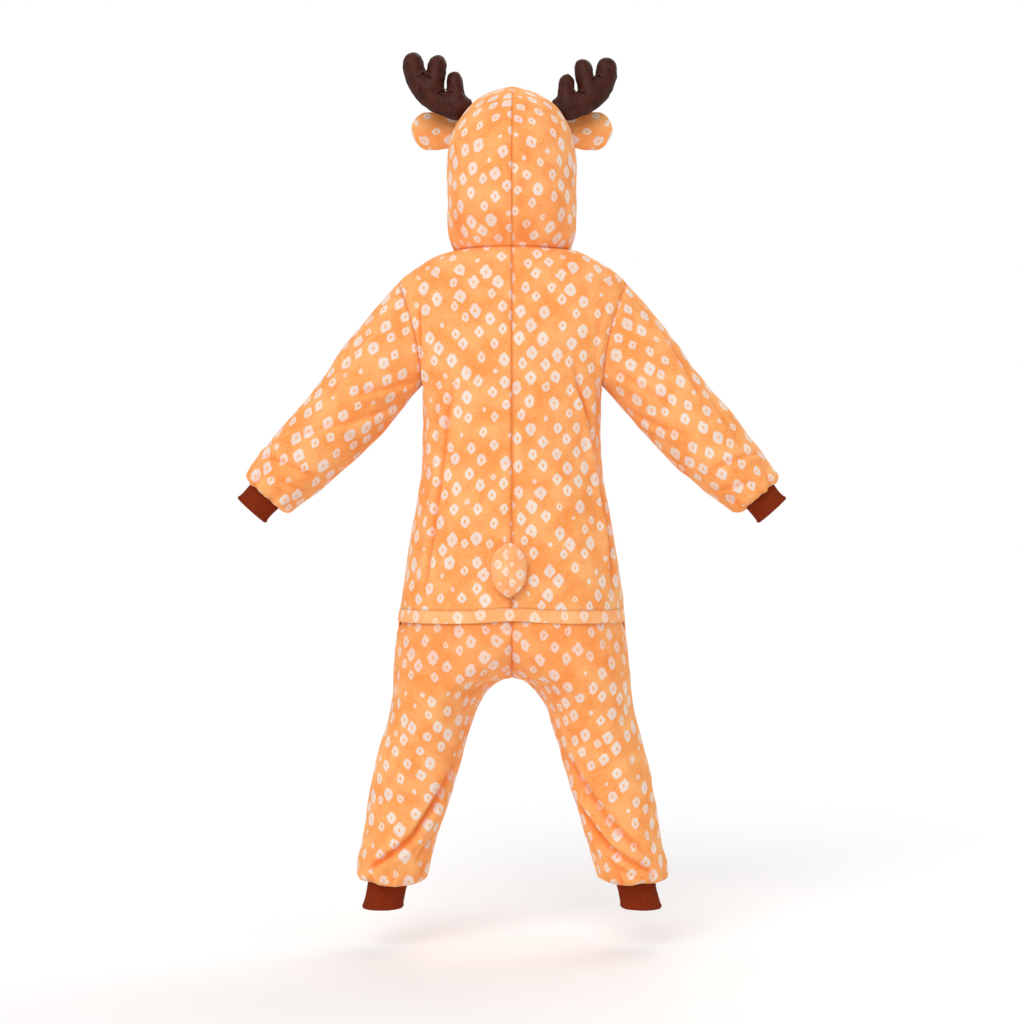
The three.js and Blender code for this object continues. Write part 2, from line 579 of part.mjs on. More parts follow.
// The front's outer surface at a level, at a distance from the middle
function frontAt(level, x) {
  const n = level.square;
  const y = -level.front * (1 - clamp(Math.abs(x) / level.side) ** n) ** (1 / n);
  return V(x, y, level.z + level.tiltFront * (1 - (x / level.side) ** 2));
}

const placketLevels = [...SHOULDER_LEVELS.slice().reverse(), ...ARMHOLE_LEVELS.slice(0, -1).reverse(),
  ...TRUNK_LEVELS.slice().reverse()].filter((level) => level.z + level.tiltFront > PLACKET_END_Z);

function bandNet(away) {
  const net = placketLevels.map((level) => [-1, -0.5, 0, 0.5, 1].map((t) => frontAt(level, t * PLACKET_HALF)));
  const normals = netNormals(net, false, true);
  return net.map((row, i) => row.map((p, j) => p.clone().addScaledVector(normals[i][j], away)));
}

const placket = { net: bandNet(FLEECE + SEAM_GAP), thick: FLEECE, isTube: false, flip: true };
placket.normals = netNormals(placket.net, false, true);
addPiece('placket', wall(placket), COLOURS.fawn);

function buttonGeometry() {
  const { radius, rim, dish } = BUTTON;
  const profile = [[0, 0], [radius, 0], [radius, rim * 0.75], [radius * 0.9, rim], [radius * 0.7, rim],
    [radius * 0.6, dish], [0, dish]];
  const lathe = new THREE.LatheGeometry(profile.map(([r, h]) => new THREE.Vector2(r, h)), 12);
  lathe.deleteAttribute('normal');
  lathe.deleteAttribute('uv');
  return mergeVertices(lathe);
}

const bandLine = placket.net.map((row) => row[2]);
const bandCurve = new THREE.CatmullRomCurve3(bandLine);
for (let k = 0; k < BUTTON.count; k += 1) {
  const t = mix(0.045, 0.93, k / (BUTTON.count - 1));
  const along = bandCurve.getTangentAt(t);
  const outward = V(1, 0, 0).cross(along).normalize();
  if (outward.y > 0) outward.negate();
  const mesh = addPiece(`button_${k + 1}`, buttonGeometry(), COLOURS.button, 0.4);
  mesh.position.copy(bandCurve.getPointAt(t)).addScaledVector(outward, SEAM_GAP * 2);
  mesh.quaternion.setFromUnitVectors(V(0, 1, 0), outward);
}

// Solid of the space inside the hood, one seam gap larger, to shape the roots of ears and antlers

function toSolid(geometry) {
  const merged = mergeVertices(geometry, 1e-4);
  const vertProperties = new Float32Array(merged.attributes.position.array);
  const triVerts = new Uint32Array(merged.index.array);
  return new wasm.Manifold(new wasm.Mesh({ numProp: 3, vertProperties, triVerts }));
}

function fromSolid(solid) {
  const mesh = solid.getMesh();
  const geometry = new THREE.BufferGeometry();
  geometry.setAttribute('position', new THREE.BufferAttribute(new Float32Array(mesh.vertProperties), 3));
  geometry.setIndex([...mesh.triVerts]);
  return geometry;
}

function hoodCore() {
  const net = hoodNet();
  const normals = netNormals(net, false, true);
  const grown = net.map((row, i) => row.map((p, j) => {
    const moved = p.clone().addScaledVector(normals[i][j], SEAM_GAP);
    if (Math.abs(p.x) < 1e-6) moved.x = 0;
    return moved;
  }));
  const rows = grown.map((row) => [...row.slice(1).reverse().map((p) => V(-p.x, p.y, p.z)), ...row]);
  const wide = rows[0].length;
  const high = rows.length;
  const points = rows.flat();
  const faces = [];
  for (let i = 0; i < high - 1; i += 1) {
    for (let j = 0; j < wide - 1; j += 1) {
      const [a, b, c, d] = [i * wide + j, i * wide + j + 1, (i + 1) * wide + j + 1, (i + 1) * wide + j];
      faces.push(a, c, b, a, d, c);
    }
  }
  const rim = [...Array(wide).keys(), ...[...Array(high - 1).keys()].map((i) => (i + 1) * wide + wide - 1)];
  const otherSide = [...Array(high - 1).keys()].map((i) => (i + 1) * wide).reverse();
  const loop = [...rim, ...otherSide];
  const centre = points.length;
  points.push(V(0, HOOD.middleY - 40, 60));
  loop.forEach((a, k) => faces.push(a, loop[(k + 1) % loop.length], centre));
  return toSolid(geometryOf(points, faces));
}

const core = hoodCore();

// One stuffed tine: flat oval rings along a line in the antler's plane, closed by round ends
function tineSolid({ line, half }) {
  const points = line.map(([a, b]) => V(a, 0, b));
  const curve = new THREE.CatmullRomCurve3(points);
  const count = 12;
  const stations = [];
  const read = (t) => {
    const spot = t * (half.length - 1);
    const i = Math.min(half.length - 2, Math.floor(spot));
    return mix(half[i], half[i + 1], spot - i);
  };
  const body = (line.length - 1) * 2;
  for (let k = 0; k <= body; k += 1) stations.push({ t: k / body, beyond: 0, share: 1 });
  [35, 65].map(radians).forEach((angle) =>
    stations.push({ t: 1, beyond: Math.sin(angle), share: Math.cos(angle) }));
  const rings = stations.map(({ t, beyond, share }) => {
    const centre = curve.getPoint(t);
    const along = curve.getTangent(t);
    const wide = read(t);
    centre.addScaledVector(along, beyond * wide);
    const across = V(along.z, 0, -along.x);
    return steps(count).slice(0, -1).map((u) => {
      const angle = 2 * Math.PI * u;
      return centre.clone().addScaledVector(across, wide * share * Math.cos(angle))
        .add(V(0, Math.min(wide, ANTLER_HALF_THICK) * share ** 0.8 * Math.sin(angle), 0));
    });
  });
  const all = rings.flat();
  const faces = [];
  for (let i = 0; i < rings.length - 1; i += 1) {
    for (let j = 0; j < count; j += 1) {
      const [a, b] = [i * count + j, i * count + ((j + 1) % count)];
      faces.push(a, b, b + count, a, b + count, a + count);
    }
  }
  const [foot, tip] = [all.length, all.length + 1];
  all.push(points[0], curve.getPoint(1).addScaledVector(curve.getTangent(1), read(1)));
  for (let j = 0; j < count; j += 1) {
    const next = (j + 1) % count;
    const top = (rings.length - 1) * count;
    faces.push(foot, next, j, tip, top + j, top + next);
  }
  return toSolid(geometryOf(all, faces));
}

function antlerSolid() {
  return ANTLER_TINES.map(tineSolid).reduce((whole, tine) => whole.add(tine));
}

ANTLERS.forEach(({ name, sign, x, y, z, yaw, lean }) => {
  const place = new THREE.Matrix4().makeTranslation(x, y, z)
    .multiply(new THREE.Matrix4().makeRotationZ(radians(-yaw)))
    .multiply(new THREE.Matrix4().makeRotationX(radians(lean)));
  const shape = fromSolid(antlerSolid());
  shape.applyMatrix4(place);
  const cut = fromSolid(toSolid(shape).subtract(core));
  addPiece(name, sign > 0 ? cut : mirrorGeometry(cut), COLOURS.antler, 0.55);
});

function mirrorGeometry(geometry) {
  const turned = geometry.clone().applyMatrix4(new THREE.Matrix4().makeScale(-1, 1, 1));
  const faces = [...turned.index.array];
  for (let k = 0; k < faces.length; k += 3) [faces[k], faces[k + 1]] = [faces[k + 1], faces[k]];
  turned.setIndex(faces);
  return turned;
}

// Ears: a fawn leaf behind and a pale leaf in front, both cupped towards the front

function earNet() {
  return EAR_OUTLINE.map(({ along, top, lower }) => steps(6).map((t) => {
    const up = mix(-lower, top, t);
    const reach = Math.abs(2 * t - 1);
    const fold = 1 - smooth(along / 60);
    const y = EAR.y - EAR.cup * reach ** 2 * (0.55 + fold) - 0.1 * along;
    return V(EAR.x + along, y, EAR.z + up + EAR.lean * Math.sin((along / 80) * Math.PI * 0.9));
  }));
}

function earLeaf(name, offset, colour) {
  const leaf = { net: earNet(), thick: EAR_CLOTH, isTube: false, flip: false };
  leaf.normals = netNormals(leaf.net, false, false);
  const flip = leaf.normals[3][3].y < 0;
  if (flip) leaf.normals.flat().forEach((normal) => normal.negate());
  leaf.flip = flip;
  leaf.net = leaf.net.map((row, i) => row.map((p, j) => p.clone().addScaledVector(leaf.normals[i][j], offset)));
  const cut = fromSolid(toSolid(wall(leaf)).subtract(core));
  addPiece(`${name}_left`, cut, colour);
  addPiece(`${name}_right`, mirrorGeometry(cut), colour);
}

earLeaf('ear_back', 0, COLOURS.fawn);
earLeaf('ear_front', -(EAR_CLOTH + SEAM_GAP), COLOURS.lining);

// Tail: a stuffed almond that lies on the back at its root and stands off towards its tip

function backAt(x, z) {
  const level = trunkLevel(z);
  return level.back * (1 - clamp(Math.abs(x) / level.side) ** level.square) ** (1 / level.square);
}

function tailGeometry() {
  const [high, around] = [9, 10];
  const rings = steps(high).slice(1, -1).map((t) => {
    const z = mix(TAIL.topZ, TAIL.lowZ, t);
    const full = Math.sin(Math.PI * t ** 0.86) ** 0.72;
    const lift = SEAM_GAP * 2 + TAIL.lift * t ** 2;
    return steps(around).slice(0, -1).map((u) => {
      const angle = 2 * Math.PI * u;
      const x = TAIL.x + TAIL.halfWidth * full * Math.cos(angle);
      const out = Math.sin(angle);
      const depth = TAIL.thick * full * (out > 0 ? out : 0.16 * out);
      const seat = Math.max(backAt(x, z), backAt(TAIL.x, z) - 4);
      return V(x, seat + lift + TAIL.thick * 0.16 * full + depth, z);
    });
  });
  const all = rings.flat();
  const faces = [];
  for (let i = 0; i < rings.length - 1; i += 1) {
    for (let j = 0; j < around; j += 1) {
      const [a, b] = [i * around + j, i * around + ((j + 1) % around)];
      faces.push(a, b + around, b, a, a + around, b + around);
    }
  }
  const tip = (z, t) => V(TAIL.x, backAt(TAIL.x, z) + SEAM_GAP * 2 + TAIL.lift * t ** 2 + 2, z);
  const [top, low] = [all.length, all.length + 1];
  all.push(tip(TAIL.topZ, 0), tip(TAIL.lowZ, 1));
  const last = (rings.length - 1) * around;
  for (let j = 0; j < around; j += 1) {
    const next = (j + 1) % around;
    faces.push(top, j, next, low, last + next, last + j);
  }
  return geometryOf(all, faces);
}

addPiece('tail', tailGeometry(), COLOURS.fawn);

export default garment;
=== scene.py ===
# %% [markdown]
# This lesson dresses a child's hooded fawn onesie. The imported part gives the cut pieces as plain
# walls. Here each of them becomes brushed fleece with a dyed dapple pattern, seams that pull in,
# folds where the body bends, gathers at the cuffs, ribbed knit, stuffed velour antlers and buttons.
#
# A tailor's pieces could be made by simulating cloth on a dress form, by sculpting, or by working
# out the same surfaces as the part at a finer step. The last is used for the fleece: it keeps every
# piece in its place, and each fold stays a row in a table that can be read and changed.

import math

import bpy
import numpy as np
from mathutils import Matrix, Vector
from mathutils.bvhtree import BVHTree
from mathutils.kdtree import KDTree


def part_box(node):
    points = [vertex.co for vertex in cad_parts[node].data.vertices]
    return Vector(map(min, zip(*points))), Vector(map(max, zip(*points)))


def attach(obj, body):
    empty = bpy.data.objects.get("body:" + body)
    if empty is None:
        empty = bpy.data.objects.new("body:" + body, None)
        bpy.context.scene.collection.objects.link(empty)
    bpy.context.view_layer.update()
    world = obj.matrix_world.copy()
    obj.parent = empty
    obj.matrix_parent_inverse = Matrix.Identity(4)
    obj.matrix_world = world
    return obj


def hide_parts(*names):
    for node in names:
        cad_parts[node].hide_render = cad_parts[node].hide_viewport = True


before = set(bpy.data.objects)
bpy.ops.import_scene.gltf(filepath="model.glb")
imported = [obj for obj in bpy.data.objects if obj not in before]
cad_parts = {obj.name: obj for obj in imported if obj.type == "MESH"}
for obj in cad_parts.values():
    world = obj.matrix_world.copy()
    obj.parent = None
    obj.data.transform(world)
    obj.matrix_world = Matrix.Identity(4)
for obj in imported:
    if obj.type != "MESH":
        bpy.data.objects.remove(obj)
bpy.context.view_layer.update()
scene = bpy.context.scene
scene.view_settings.view_transform = "Standard"
print("packed pieces:", len(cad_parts))

# %% [markdown]
# Small helpers come first: blending, a smooth curve read from a table's column, and a soft, even
# noise made of waves, which is the same on both sides of every seam.

# %% Number helpers
QUARTER = math.pi / 2


def mix(a, b, t):
    return a + (b - a) * t


def smooth(t):
    t = np.clip(t, 0, 1)
    return t * t * (3 - 2 * t)


def power(value, exponent):
    return math.copysign(abs(value) ** exponent, value)


def read_table(table, key, column, at):
    rows = sorted(table, key=lambda row: row[key])
    xs = [row[key] for row in rows]
    ys = [row[column] for row in rows]
    x = min(max(at, xs[0]), xs[-1])
    i = max(0, min(len(xs) - 2, int(np.searchsorted(xs, x, side="right")) - 1))
    slopes = [(ys[k + 1] - ys[k]) / (xs[k + 1] - xs[k]) for k in range(len(xs) - 1)]

    def tangent(k):
        if k == 0 or k == len(xs) - 1:
            return slopes[0] if k == 0 else slopes[-1]
        before, after = slopes[k - 1], slopes[k]
        return 0.0 if before * after <= 0 else 2 * before * after / (before + after)

    span = xs[i + 1] - xs[i]
    t = (x - xs[i]) / span
    ta, tb = tangent(i) * span, tangent(i + 1) * span
    return (ys[i] * (1 - t) ** 2 * (1 + 2 * t) + ta * t * (1 - t) ** 2
            + ys[i + 1] * t ** 2 * (3 - 2 * t) - tb * t ** 2 * (1 - t))


def wave_noise(points, size, seed, count=18):
    """Soft noise from -1 to 1 at points in mm; size is the usual distance between its bumps."""
    rng = np.random.default_rng(seed)
    total = np.zeros(points.shape[:-1])
    for _ in range(count):
        direction = rng.normal(size=3)
        direction /= np.linalg.norm(direction)
        length = size * rng.uniform(0.75, 1.5)
        phase = rng.uniform(0, 2 * math.pi)
        total += np.sin(points @ direction * (2 * math.pi / length) + phase)
    return total / math.sqrt(count)


# %% [markdown]
# The sizes are those of the cut part, in millimetres: X to the garment's left, -Y to the front, Z up.

# %% Sizes of the garment
FLEECE = 2.0
UNDERARM_Z = -185
FLAP_STITCH_Z = -491
FLAP_EDGE_Z = -509
FLAP_TUCK_Z = -474
CROTCH_Z = -587
LEG_ROLL_Z = -856
PLACKET_END_Z = -410
SHOULDER_TIP = (157, -43)
UNDERARM_X = 124
ARMHOLE_DEPTH = 54
ARMHOLE_CURVE = 1.8
SHOULDER_CURVE = 1.5
NECK = dict(half=80, front=72, back=62, drop=-45, rise=1.5)
CROTCH_CURVE = 74
CROTCH_POINT = dict(depth=1.2, width=1.8, above=72, below=95)
ARCH = dict(half=35, rise=50, splay=0.305)
LEG_ROLL_DEEP = 11
SLEEVE_ROLL = dict(start=289, deep=10)
SLEEVE_CAP_SHARE = 0.4
WRIST = dict(half=26, depth=22, start=293, end=327, waist=1.2)
ANKLE = dict(x=170.5, z=-862, half=28, front=31, back=33, height=42, lean=0.22, waist=1)
HOOD = dict(half=89, middle=10, back=100, front=105, dome=112, top=226.5, edge_y=-88, edge_drop=12,
            edge_angle=140, square_back=2.15, square_front=3.3, square_dome=2.12, bulge=2.6)
SHOULDER = dict(front=86, back=79, square=2.15, drop=-38, rise=8)
TAIL = dict(x=4, top=-399, low=-479)
PLACKET_HALF = 13
BUTTON_COUNT = 6
SEAM_GAP = 0.3

BODY_COLUMNS = ("z", "side", "ridge", "front", "back", "square")
BODY_SECTIONS = [dict(zip(BODY_COLUMNS, row)) for row in [
    (-185, 124, 0, 98, 92, 2.3), (-240, 122, 0, 101, 94, 2.3), (-300, 124, 0, 104, 97, 2.3),
    (-350, 132, 0, 108, 102, 2.3), (-420, 144, 0, 113, 109, 2.3), (-480, 153, 0, 116, 115, 2.3),
    (-513, 156, 0, 116, 116, 2.3), (-547, 159.5, 30, 112, 114, 2.25), (-587, 163.5, 78, 102, 106, 2.2),
    (-617, 165.5, 101, 91, 95, 2.15), (-647, 171.5, 112, 81, 84, 2.1), (-680, 181.5, 122.5, 73, 75, 2.1),
    (-712, 189.5, 131, 67, 69, 2.1), (-745, 195.5, 139.5, 64, 65, 2.1), (-778, 200.5, 147, 61, 63, 2.1),
    (-811, 206, 155, 58, 61, 2.1), (-842, 213.5, 163, 57, 60, 2.2), (-856, 214, 165.5, 56, 59, 2.2),
]]
SLEEVE_COLUMNS = ("along", "top", "lower", "depth")
SLEEVE_SECTIONS = [dict(zip(SLEEVE_COLUMNS, row)) for row in [
    (-42, 59.8, 59.8, 54), (0, 62, 60, 54), (60, 57.5, 60, 54), (120, 50.5, 62, 53),
    (180, 48, 60, 51), (240, 43, 53, 47), (275, 40.5, 45.5, 43), (290, 38.5, 42.5, 41),
]]
EAR = dict(x=60, y=-26, z=169, cup=9, lean=5)
EAR_COLUMNS = ("along", "top", "lower")
EAR_OUTLINE = [dict(zip(EAR_COLUMNS, row)) for row in [
    (0, 18, 20), (14, 19.5, 24), (28, 21.5, 28), (46, 24.5, 29), (61, 25, 24.5), (73, 20, 13.5),
    (80, 11, 2.5),
]]

# %% [markdown]
# One level of the body is a pair of joined ovals: one half-oval outside the deepest line and one
# inside it. Below the crotch the inner one ends at the inseam, so the same level makes a leg.

# %% Levels of the body
def inseam_x(z):
    depth = max(0.0, CROTCH_Z - z)
    share = min(1.0, depth / ARCH["rise"])
    return ARCH["splay"] * depth + ARCH["half"] * math.sqrt(1 - (1 - share) ** 2)


def trunk_level(z, inset=0.0):
    row = {column: read_table(BODY_SECTIONS, "z", column, z) for column in BODY_COLUMNS[1:]}
    above = z - CROTCH_Z
    reach = CROTCH_POINT["above"] if above > 0 else CROTCH_POINT["below"]
    pointed = float(smooth(1 - abs(above) / reach))
    seam = math.sqrt(1 - min(1.0, max(0.0, 1 - above / CROTCH_CURVE)) ** 2)
    depth_power = mix(row["square"], CROTCH_POINT["depth"], pointed)
    width_power = mix(row["square"], CROTCH_POINT["width"], pointed)
    lobe = 1.0 if above < 0 else (1 - seam ** depth_power) ** (1 / width_power)
    return dict(row, z=z, inner=inseam_x(z), side=row["side"] - inset, back=row["back"] - inset,
                depth_power=depth_power, width_power=width_power, lobe=lobe, tilt_front=0, tilt_back=0, cut=0)


def ankle_ring(z):
    down = (ANKLE["z"] - z) / ANKLE["height"]
    waist = ANKLE["waist"] * math.sin(math.pi * min(1, max(0, down)))
    lean = ANKLE["lean"] * max(0, down - 0.15) * ANKLE["height"]
    return dict(x=ANKLE["x"] + lean, half=ANKLE["half"] - waist, front=ANKLE["front"] - waist,
                back=ANKLE["back"] - waist)


def hem_level(angle):
    above = trunk_level(LEG_ROLL_Z)
    wide = math.cos(angle) ** 0.8 if angle < QUARTER - 1e-6 else 0.0
    z = LEG_ROLL_Z - LEG_ROLL_DEEP * math.sin(angle)
    cuff = ankle_ring(z)
    square = mix(2, above["square"], wide)
    return dict(above, z=z, square=square, depth_power=square, width_power=square,
                ridge=mix(cuff["x"], above["ridge"], wide),
                side=mix(cuff["x"] + cuff["half"] + SEAM_GAP, above["side"], wide),
                inner=mix(cuff["x"] - cuff["half"] - SEAM_GAP, above["inner"], wide),
                front=mix(cuff["front"] + SEAM_GAP, above["front"], wide),
                back=mix(cuff["back"] + SEAM_GAP, above["back"], wide))


def plain_level(z, side, front, back, square, tilt_front, tilt_back, cut):
    return dict(z=z, side=side, ridge=0, inner=0, front=front, back=back, square=square, lobe=0,
                depth_power=square, width_power=square, tilt_front=tilt_front, tilt_back=tilt_back, cut=cut)


def armhole_level(angle):
    up = (1 - math.cos(angle)) / 2
    cut = ARMHOLE_DEPTH * max(0.0, math.sin(angle)) ** 0.9
    side = mix(UNDERARM_X, SHOULDER_TIP[0], up ** ARMHOLE_CURVE)
    chest = BODY_SECTIONS[0]
    return plain_level(mix(UNDERARM_Z, SHOULDER_TIP[1], up), side, mix(chest["front"], SHOULDER["front"], up),
                       mix(chest["back"], SHOULDER["back"], up), mix(chest["square"], SHOULDER["square"], up),
                       SHOULDER["drop"] * up ** 2, SHOULDER["rise"] * up ** 2, cut)


def shoulder_level(share):
    z = mix(SHOULDER_TIP[1], 0, share)
    out = (z / SHOULDER_TIP[1]) ** (1 / SHOULDER_CURVE)
    round_in = share ** 1.6
    return plain_level(z, mix(NECK["half"], SHOULDER_TIP[0], out),
                       mix(SHOULDER["front"], NECK["front"], round_in),
                       mix(SHOULDER["back"], NECK["back"], round_in), SHOULDER["square"],
                       mix(SHOULDER["drop"], NECK["drop"], share),
                       mix(SHOULDER["rise"], NECK["rise"], share), 0)


def body_point(level, face, t):
    depth = level["back"] if face > 0 else level["front"]
    tilt = level["tilt_back"] if face > 0 else level["tilt_front"]
    n, ridge = level["square"], level["ridge"]
    start = QUARTER if ridge == 0 else math.acos(-(level["lobe"] ** (level["width_power"] / 2)))
    share = min(1.0, level["cut"] / depth)
    end = math.asin(share ** (n / 2))
    reach = (1 - share ** n) ** (1 / n)
    spread = 1 + 2 * (start / QUARTER - 1)
    angle = mix(math.pi, end, t) - (math.pi - start) * (1 - t) ** spread
    is_inner = angle > QUARTER
    across = power(math.cos(angle), 2 / (level["width_power"] if is_inner else n))
    half = (level["side"] - ridge) / reach
    if is_inner:
        half = (ridge - level["inner"]) / max(level["lobe"], 1e-9)
    x = level["inner"] if t == 0 else ridge + half * across
    y = face * depth * abs(math.sin(angle)) ** (2 / (level["depth_power"] if is_inner else n))
    lift = tilt * (1 - min(1, max(0, x / level["side"])) ** 2)
    return (x, face * level["cut"] if t == 1 else y, level["z"] + lift)


def body_grid(rows, face, columns):
    """A row is one level, or a function that gives the level for each share t of the way to the side."""
    return np.array([[body_point(row(t) if callable(row) else row, face, t)
                      for t in np.linspace(0, 1, columns + 1)] for row in rows])


# %% [markdown]
# Rows lie close together where the cloth turns sharply: at the hem's roll and under the crotch. At
# the armhole a row keeps the seam's own step at its end, and an even step up at the middle, because
# rows that nearly touch would fold over each other once the cloth is lifted.

# %% Rows of the panels
COLUMNS = 60
ARMHOLE_STEPS = 56
ARCH_TOP = dict(below=17, above=30)
TUCK = dict(deep=FLEECE + 0.6, start=-524, over=11)


def even_angle(share):
    return math.acos(1 - 2 * share)


def armhole_row(share):
    def level_at(t):
        return armhole_level(mix(even_angle(share), math.pi * share, t ** 6))

    return level_at


hem_rows = [hem_level(angle) for angle in np.radians(np.linspace(90, 0, 10))[:-1]]
arch_low, arch_high = CROTCH_Z - ARCH_TOP["below"], CROTCH_Z + ARCH_TOP["above"]
leg_rows = [trunk_level(z) for z in np.linspace(LEG_ROLL_Z, arch_low, 74)]
arch_rows = [trunk_level(CROTCH_Z - ARCH_TOP["below"] * s * s) for s in np.linspace(1, 0, 9)[1:]]
seat_rows = [trunk_level(CROTCH_Z + ARCH_TOP["above"] * s * s) for s in np.linspace(0, 1, 10)[1:]]
hip_rows = [trunk_level(z) for z in np.linspace(arch_high, FLAP_STITCH_Z, 22)[1:]]
waist_rows = [trunk_level(z) for z in np.linspace(FLAP_STITCH_Z, UNDERARM_Z, 92)[1:-1]]
armhole_loop = [armhole_level(angle) for angle in np.linspace(0, math.pi, ARMHOLE_STEPS + 1)]
armhole_rows = [armhole_row(share) for share in np.linspace(0, 1, ARMHOLE_STEPS + 1)]
shoulder_rows = [shoulder_level(share) for share in np.linspace(0, 1, 15)[1:]]
# the seat steps in at the flap's edge, and its last rows lie tucked behind the flap
tuck_heights = [*np.linspace(arch_high, -526, 10)[1:], *np.linspace(TUCK["start"], -511, 9),
                *np.linspace(-505, FLAP_TUCK_Z, 6)]
tuck_rows = [trunk_level(z, TUCK["deep"] * float(smooth((z - TUCK["start"]) / TUCK["over"])))
             for z in tuck_heights]

lower_rows = hem_rows + leg_rows + arch_rows + seat_rows
front_rows = lower_rows + hip_rows + waist_rows + armhole_rows + shoulder_rows
seat_all_rows = lower_rows + tuck_rows
back_rows = [trunk_level(FLAP_STITCH_Z)] + waist_rows + armhole_rows + shoulder_rows
print("rows: front", len(front_rows), "seat", len(seat_all_rows), "back", len(back_rows))

# %% [markdown]
# The sleeve starts on the armhole's own loop and turns into ovals square to the arm. The hood half
# runs from the neckline up to the centre seam, with the face edge as its last column.

# %% Sleeve and hood surfaces
SLEEVE_ORIGIN = np.array([(SHOULDER_TIP[0] + UNDERARM_X) / 2, 0, (SHOULDER_TIP[1] + UNDERARM_Z) / 2])
SLEEVE_SLOPE = np.array([0.669, 0, -0.743])
SLEEVE_ALONG = SLEEVE_SLOPE / np.linalg.norm(SLEEVE_SLOPE)
SLEEVE_UP = np.array([-SLEEVE_ALONG[2], 0, SLEEVE_ALONG[0]])


def sleeve_grid():
    loop = [body_point(level, 1, 1) for level in armhole_loop]
    loop += [body_point(level, -1, 1) for level in armhole_loop[1:-1]][::-1]
    loop = np.array(loop)
    offset = loop - SLEEVE_ORIGIN
    along0, up0 = offset @ SLEEVE_ALONG, offset @ SLEEVE_UP
    angles = 2 * np.pi * np.arange(len(loop)) / len(loop)

    def ring(share, narrow, further):
        if share == 0:
            return loop
        along = mix(along0, SLEEVE_ROLL["start"], share)
        top, lower, depth = (np.array([read_table(SLEEVE_SECTIONS, "along", column, a) for a in along])
                             for column in ("top", "lower", "depth"))
        cuff_half = WRIST["half"] + SEAM_GAP
        top, lower = mix(cuff_half, top, narrow), mix(cuff_half, lower, narrow)
        depth = mix(WRIST["depth"] + SEAM_GAP, depth, narrow)
        own = float(smooth(share / SLEEVE_CAP_SHARE))
        up = mix(up0, (top - lower) / 2 - (top + lower) / 2 * np.cos(angles), own)
        y = mix(loop[:, 1], depth * np.sin(angles), own)
        points = SLEEVE_ORIGIN + np.outer(along + further, SLEEVE_ALONG) + np.outer(up, SLEEVE_UP)
        points[:, 1] += y
        return points

    shares = np.concatenate([np.linspace(0, 0.12, 12)[:-1], np.linspace(0.12, 1, 76)])
    rings = [ring(share, 1, 0) for share in shares]
    for angle in np.radians(np.linspace(0, 90, 10))[1:]:
        narrow = math.cos(angle) ** 0.8 if angle < QUARTER - 1e-6 else 0.0
        rings.append(ring(1, narrow, SLEEVE_ROLL["deep"] * math.sin(angle)))
    return np.array(rings)


def hood_section(degrees):
    angle = math.radians(degrees)
    n = HOOD["square_back"] if degrees <= 90 else HOOD["square_front"]
    reach = HOOD["back"] if degrees <= 90 else HOOD["front"]
    return (HOOD["half"] * max(0, math.sin(angle)) ** (2 / n),
            HOOD["middle"] + reach * power(math.cos(angle), 2 / n), HOOD["dome"])


def hood_grid():
    ends = np.linspace(0, 1, COLUMNS + 1)
    neckline = shoulder_level(1)
    neck = [body_point(neckline, 1, t) for t in ends] + [body_point(neckline, -1, 1 - t) for t in ends[1:]]
    degrees = list(90 * ends) + list(mix(90, HOOD["edge_angle"], ends[1:]))
    section = [hood_section(d) for d in degrees]
    rows = []
    for up in np.linspace(0, 1, 53)[:-1]:
        row = []
        for foot, side, d in zip(neck, section, degrees):
            bulge = HOOD["bulge"] + HOOD["bulge"] * math.sin(math.radians(d)) ** 2
            out = 1 - (1 - up) ** bulge
            row.append((mix(foot[0], side[0], out), mix(foot[1], side[1], out),
                        mix(foot[2], HOOD["dome"], up)))
        rows.append(row)
    for angle in np.radians(np.linspace(0, 90, 45)):
        row = []
        n = HOOD["square_dome"]
        flat = abs(math.cos(angle)) ** (2 / n) if angle < QUARTER - 1e-6 else 0.0
        for j, side in enumerate(section):
            u = j / (len(section) - 1)
            top_y = mix(HOOD["middle"], HOOD["edge_y"], u)
            top_z = HOOD["top"] - HOOD["edge_drop"] * u ** 4
            x = 0.0 if j == 0 else side[0] * flat
            row.append((x, mix(top_y, side[1], flat), mix(HOOD["dome"], top_z, math.sin(angle) ** (2 / n))))
        rows.append(row)
    return np.array(rows)


# %% [markdown]
# Folds are the garment's character. Each row is one soft ridge along a line of points in the back or
# front view, with its width and height in mm. Pushed-up cloth has a crease on one side of its ridge:
# crease says how deep it is against the ridge, and its sign says on which side it lies.

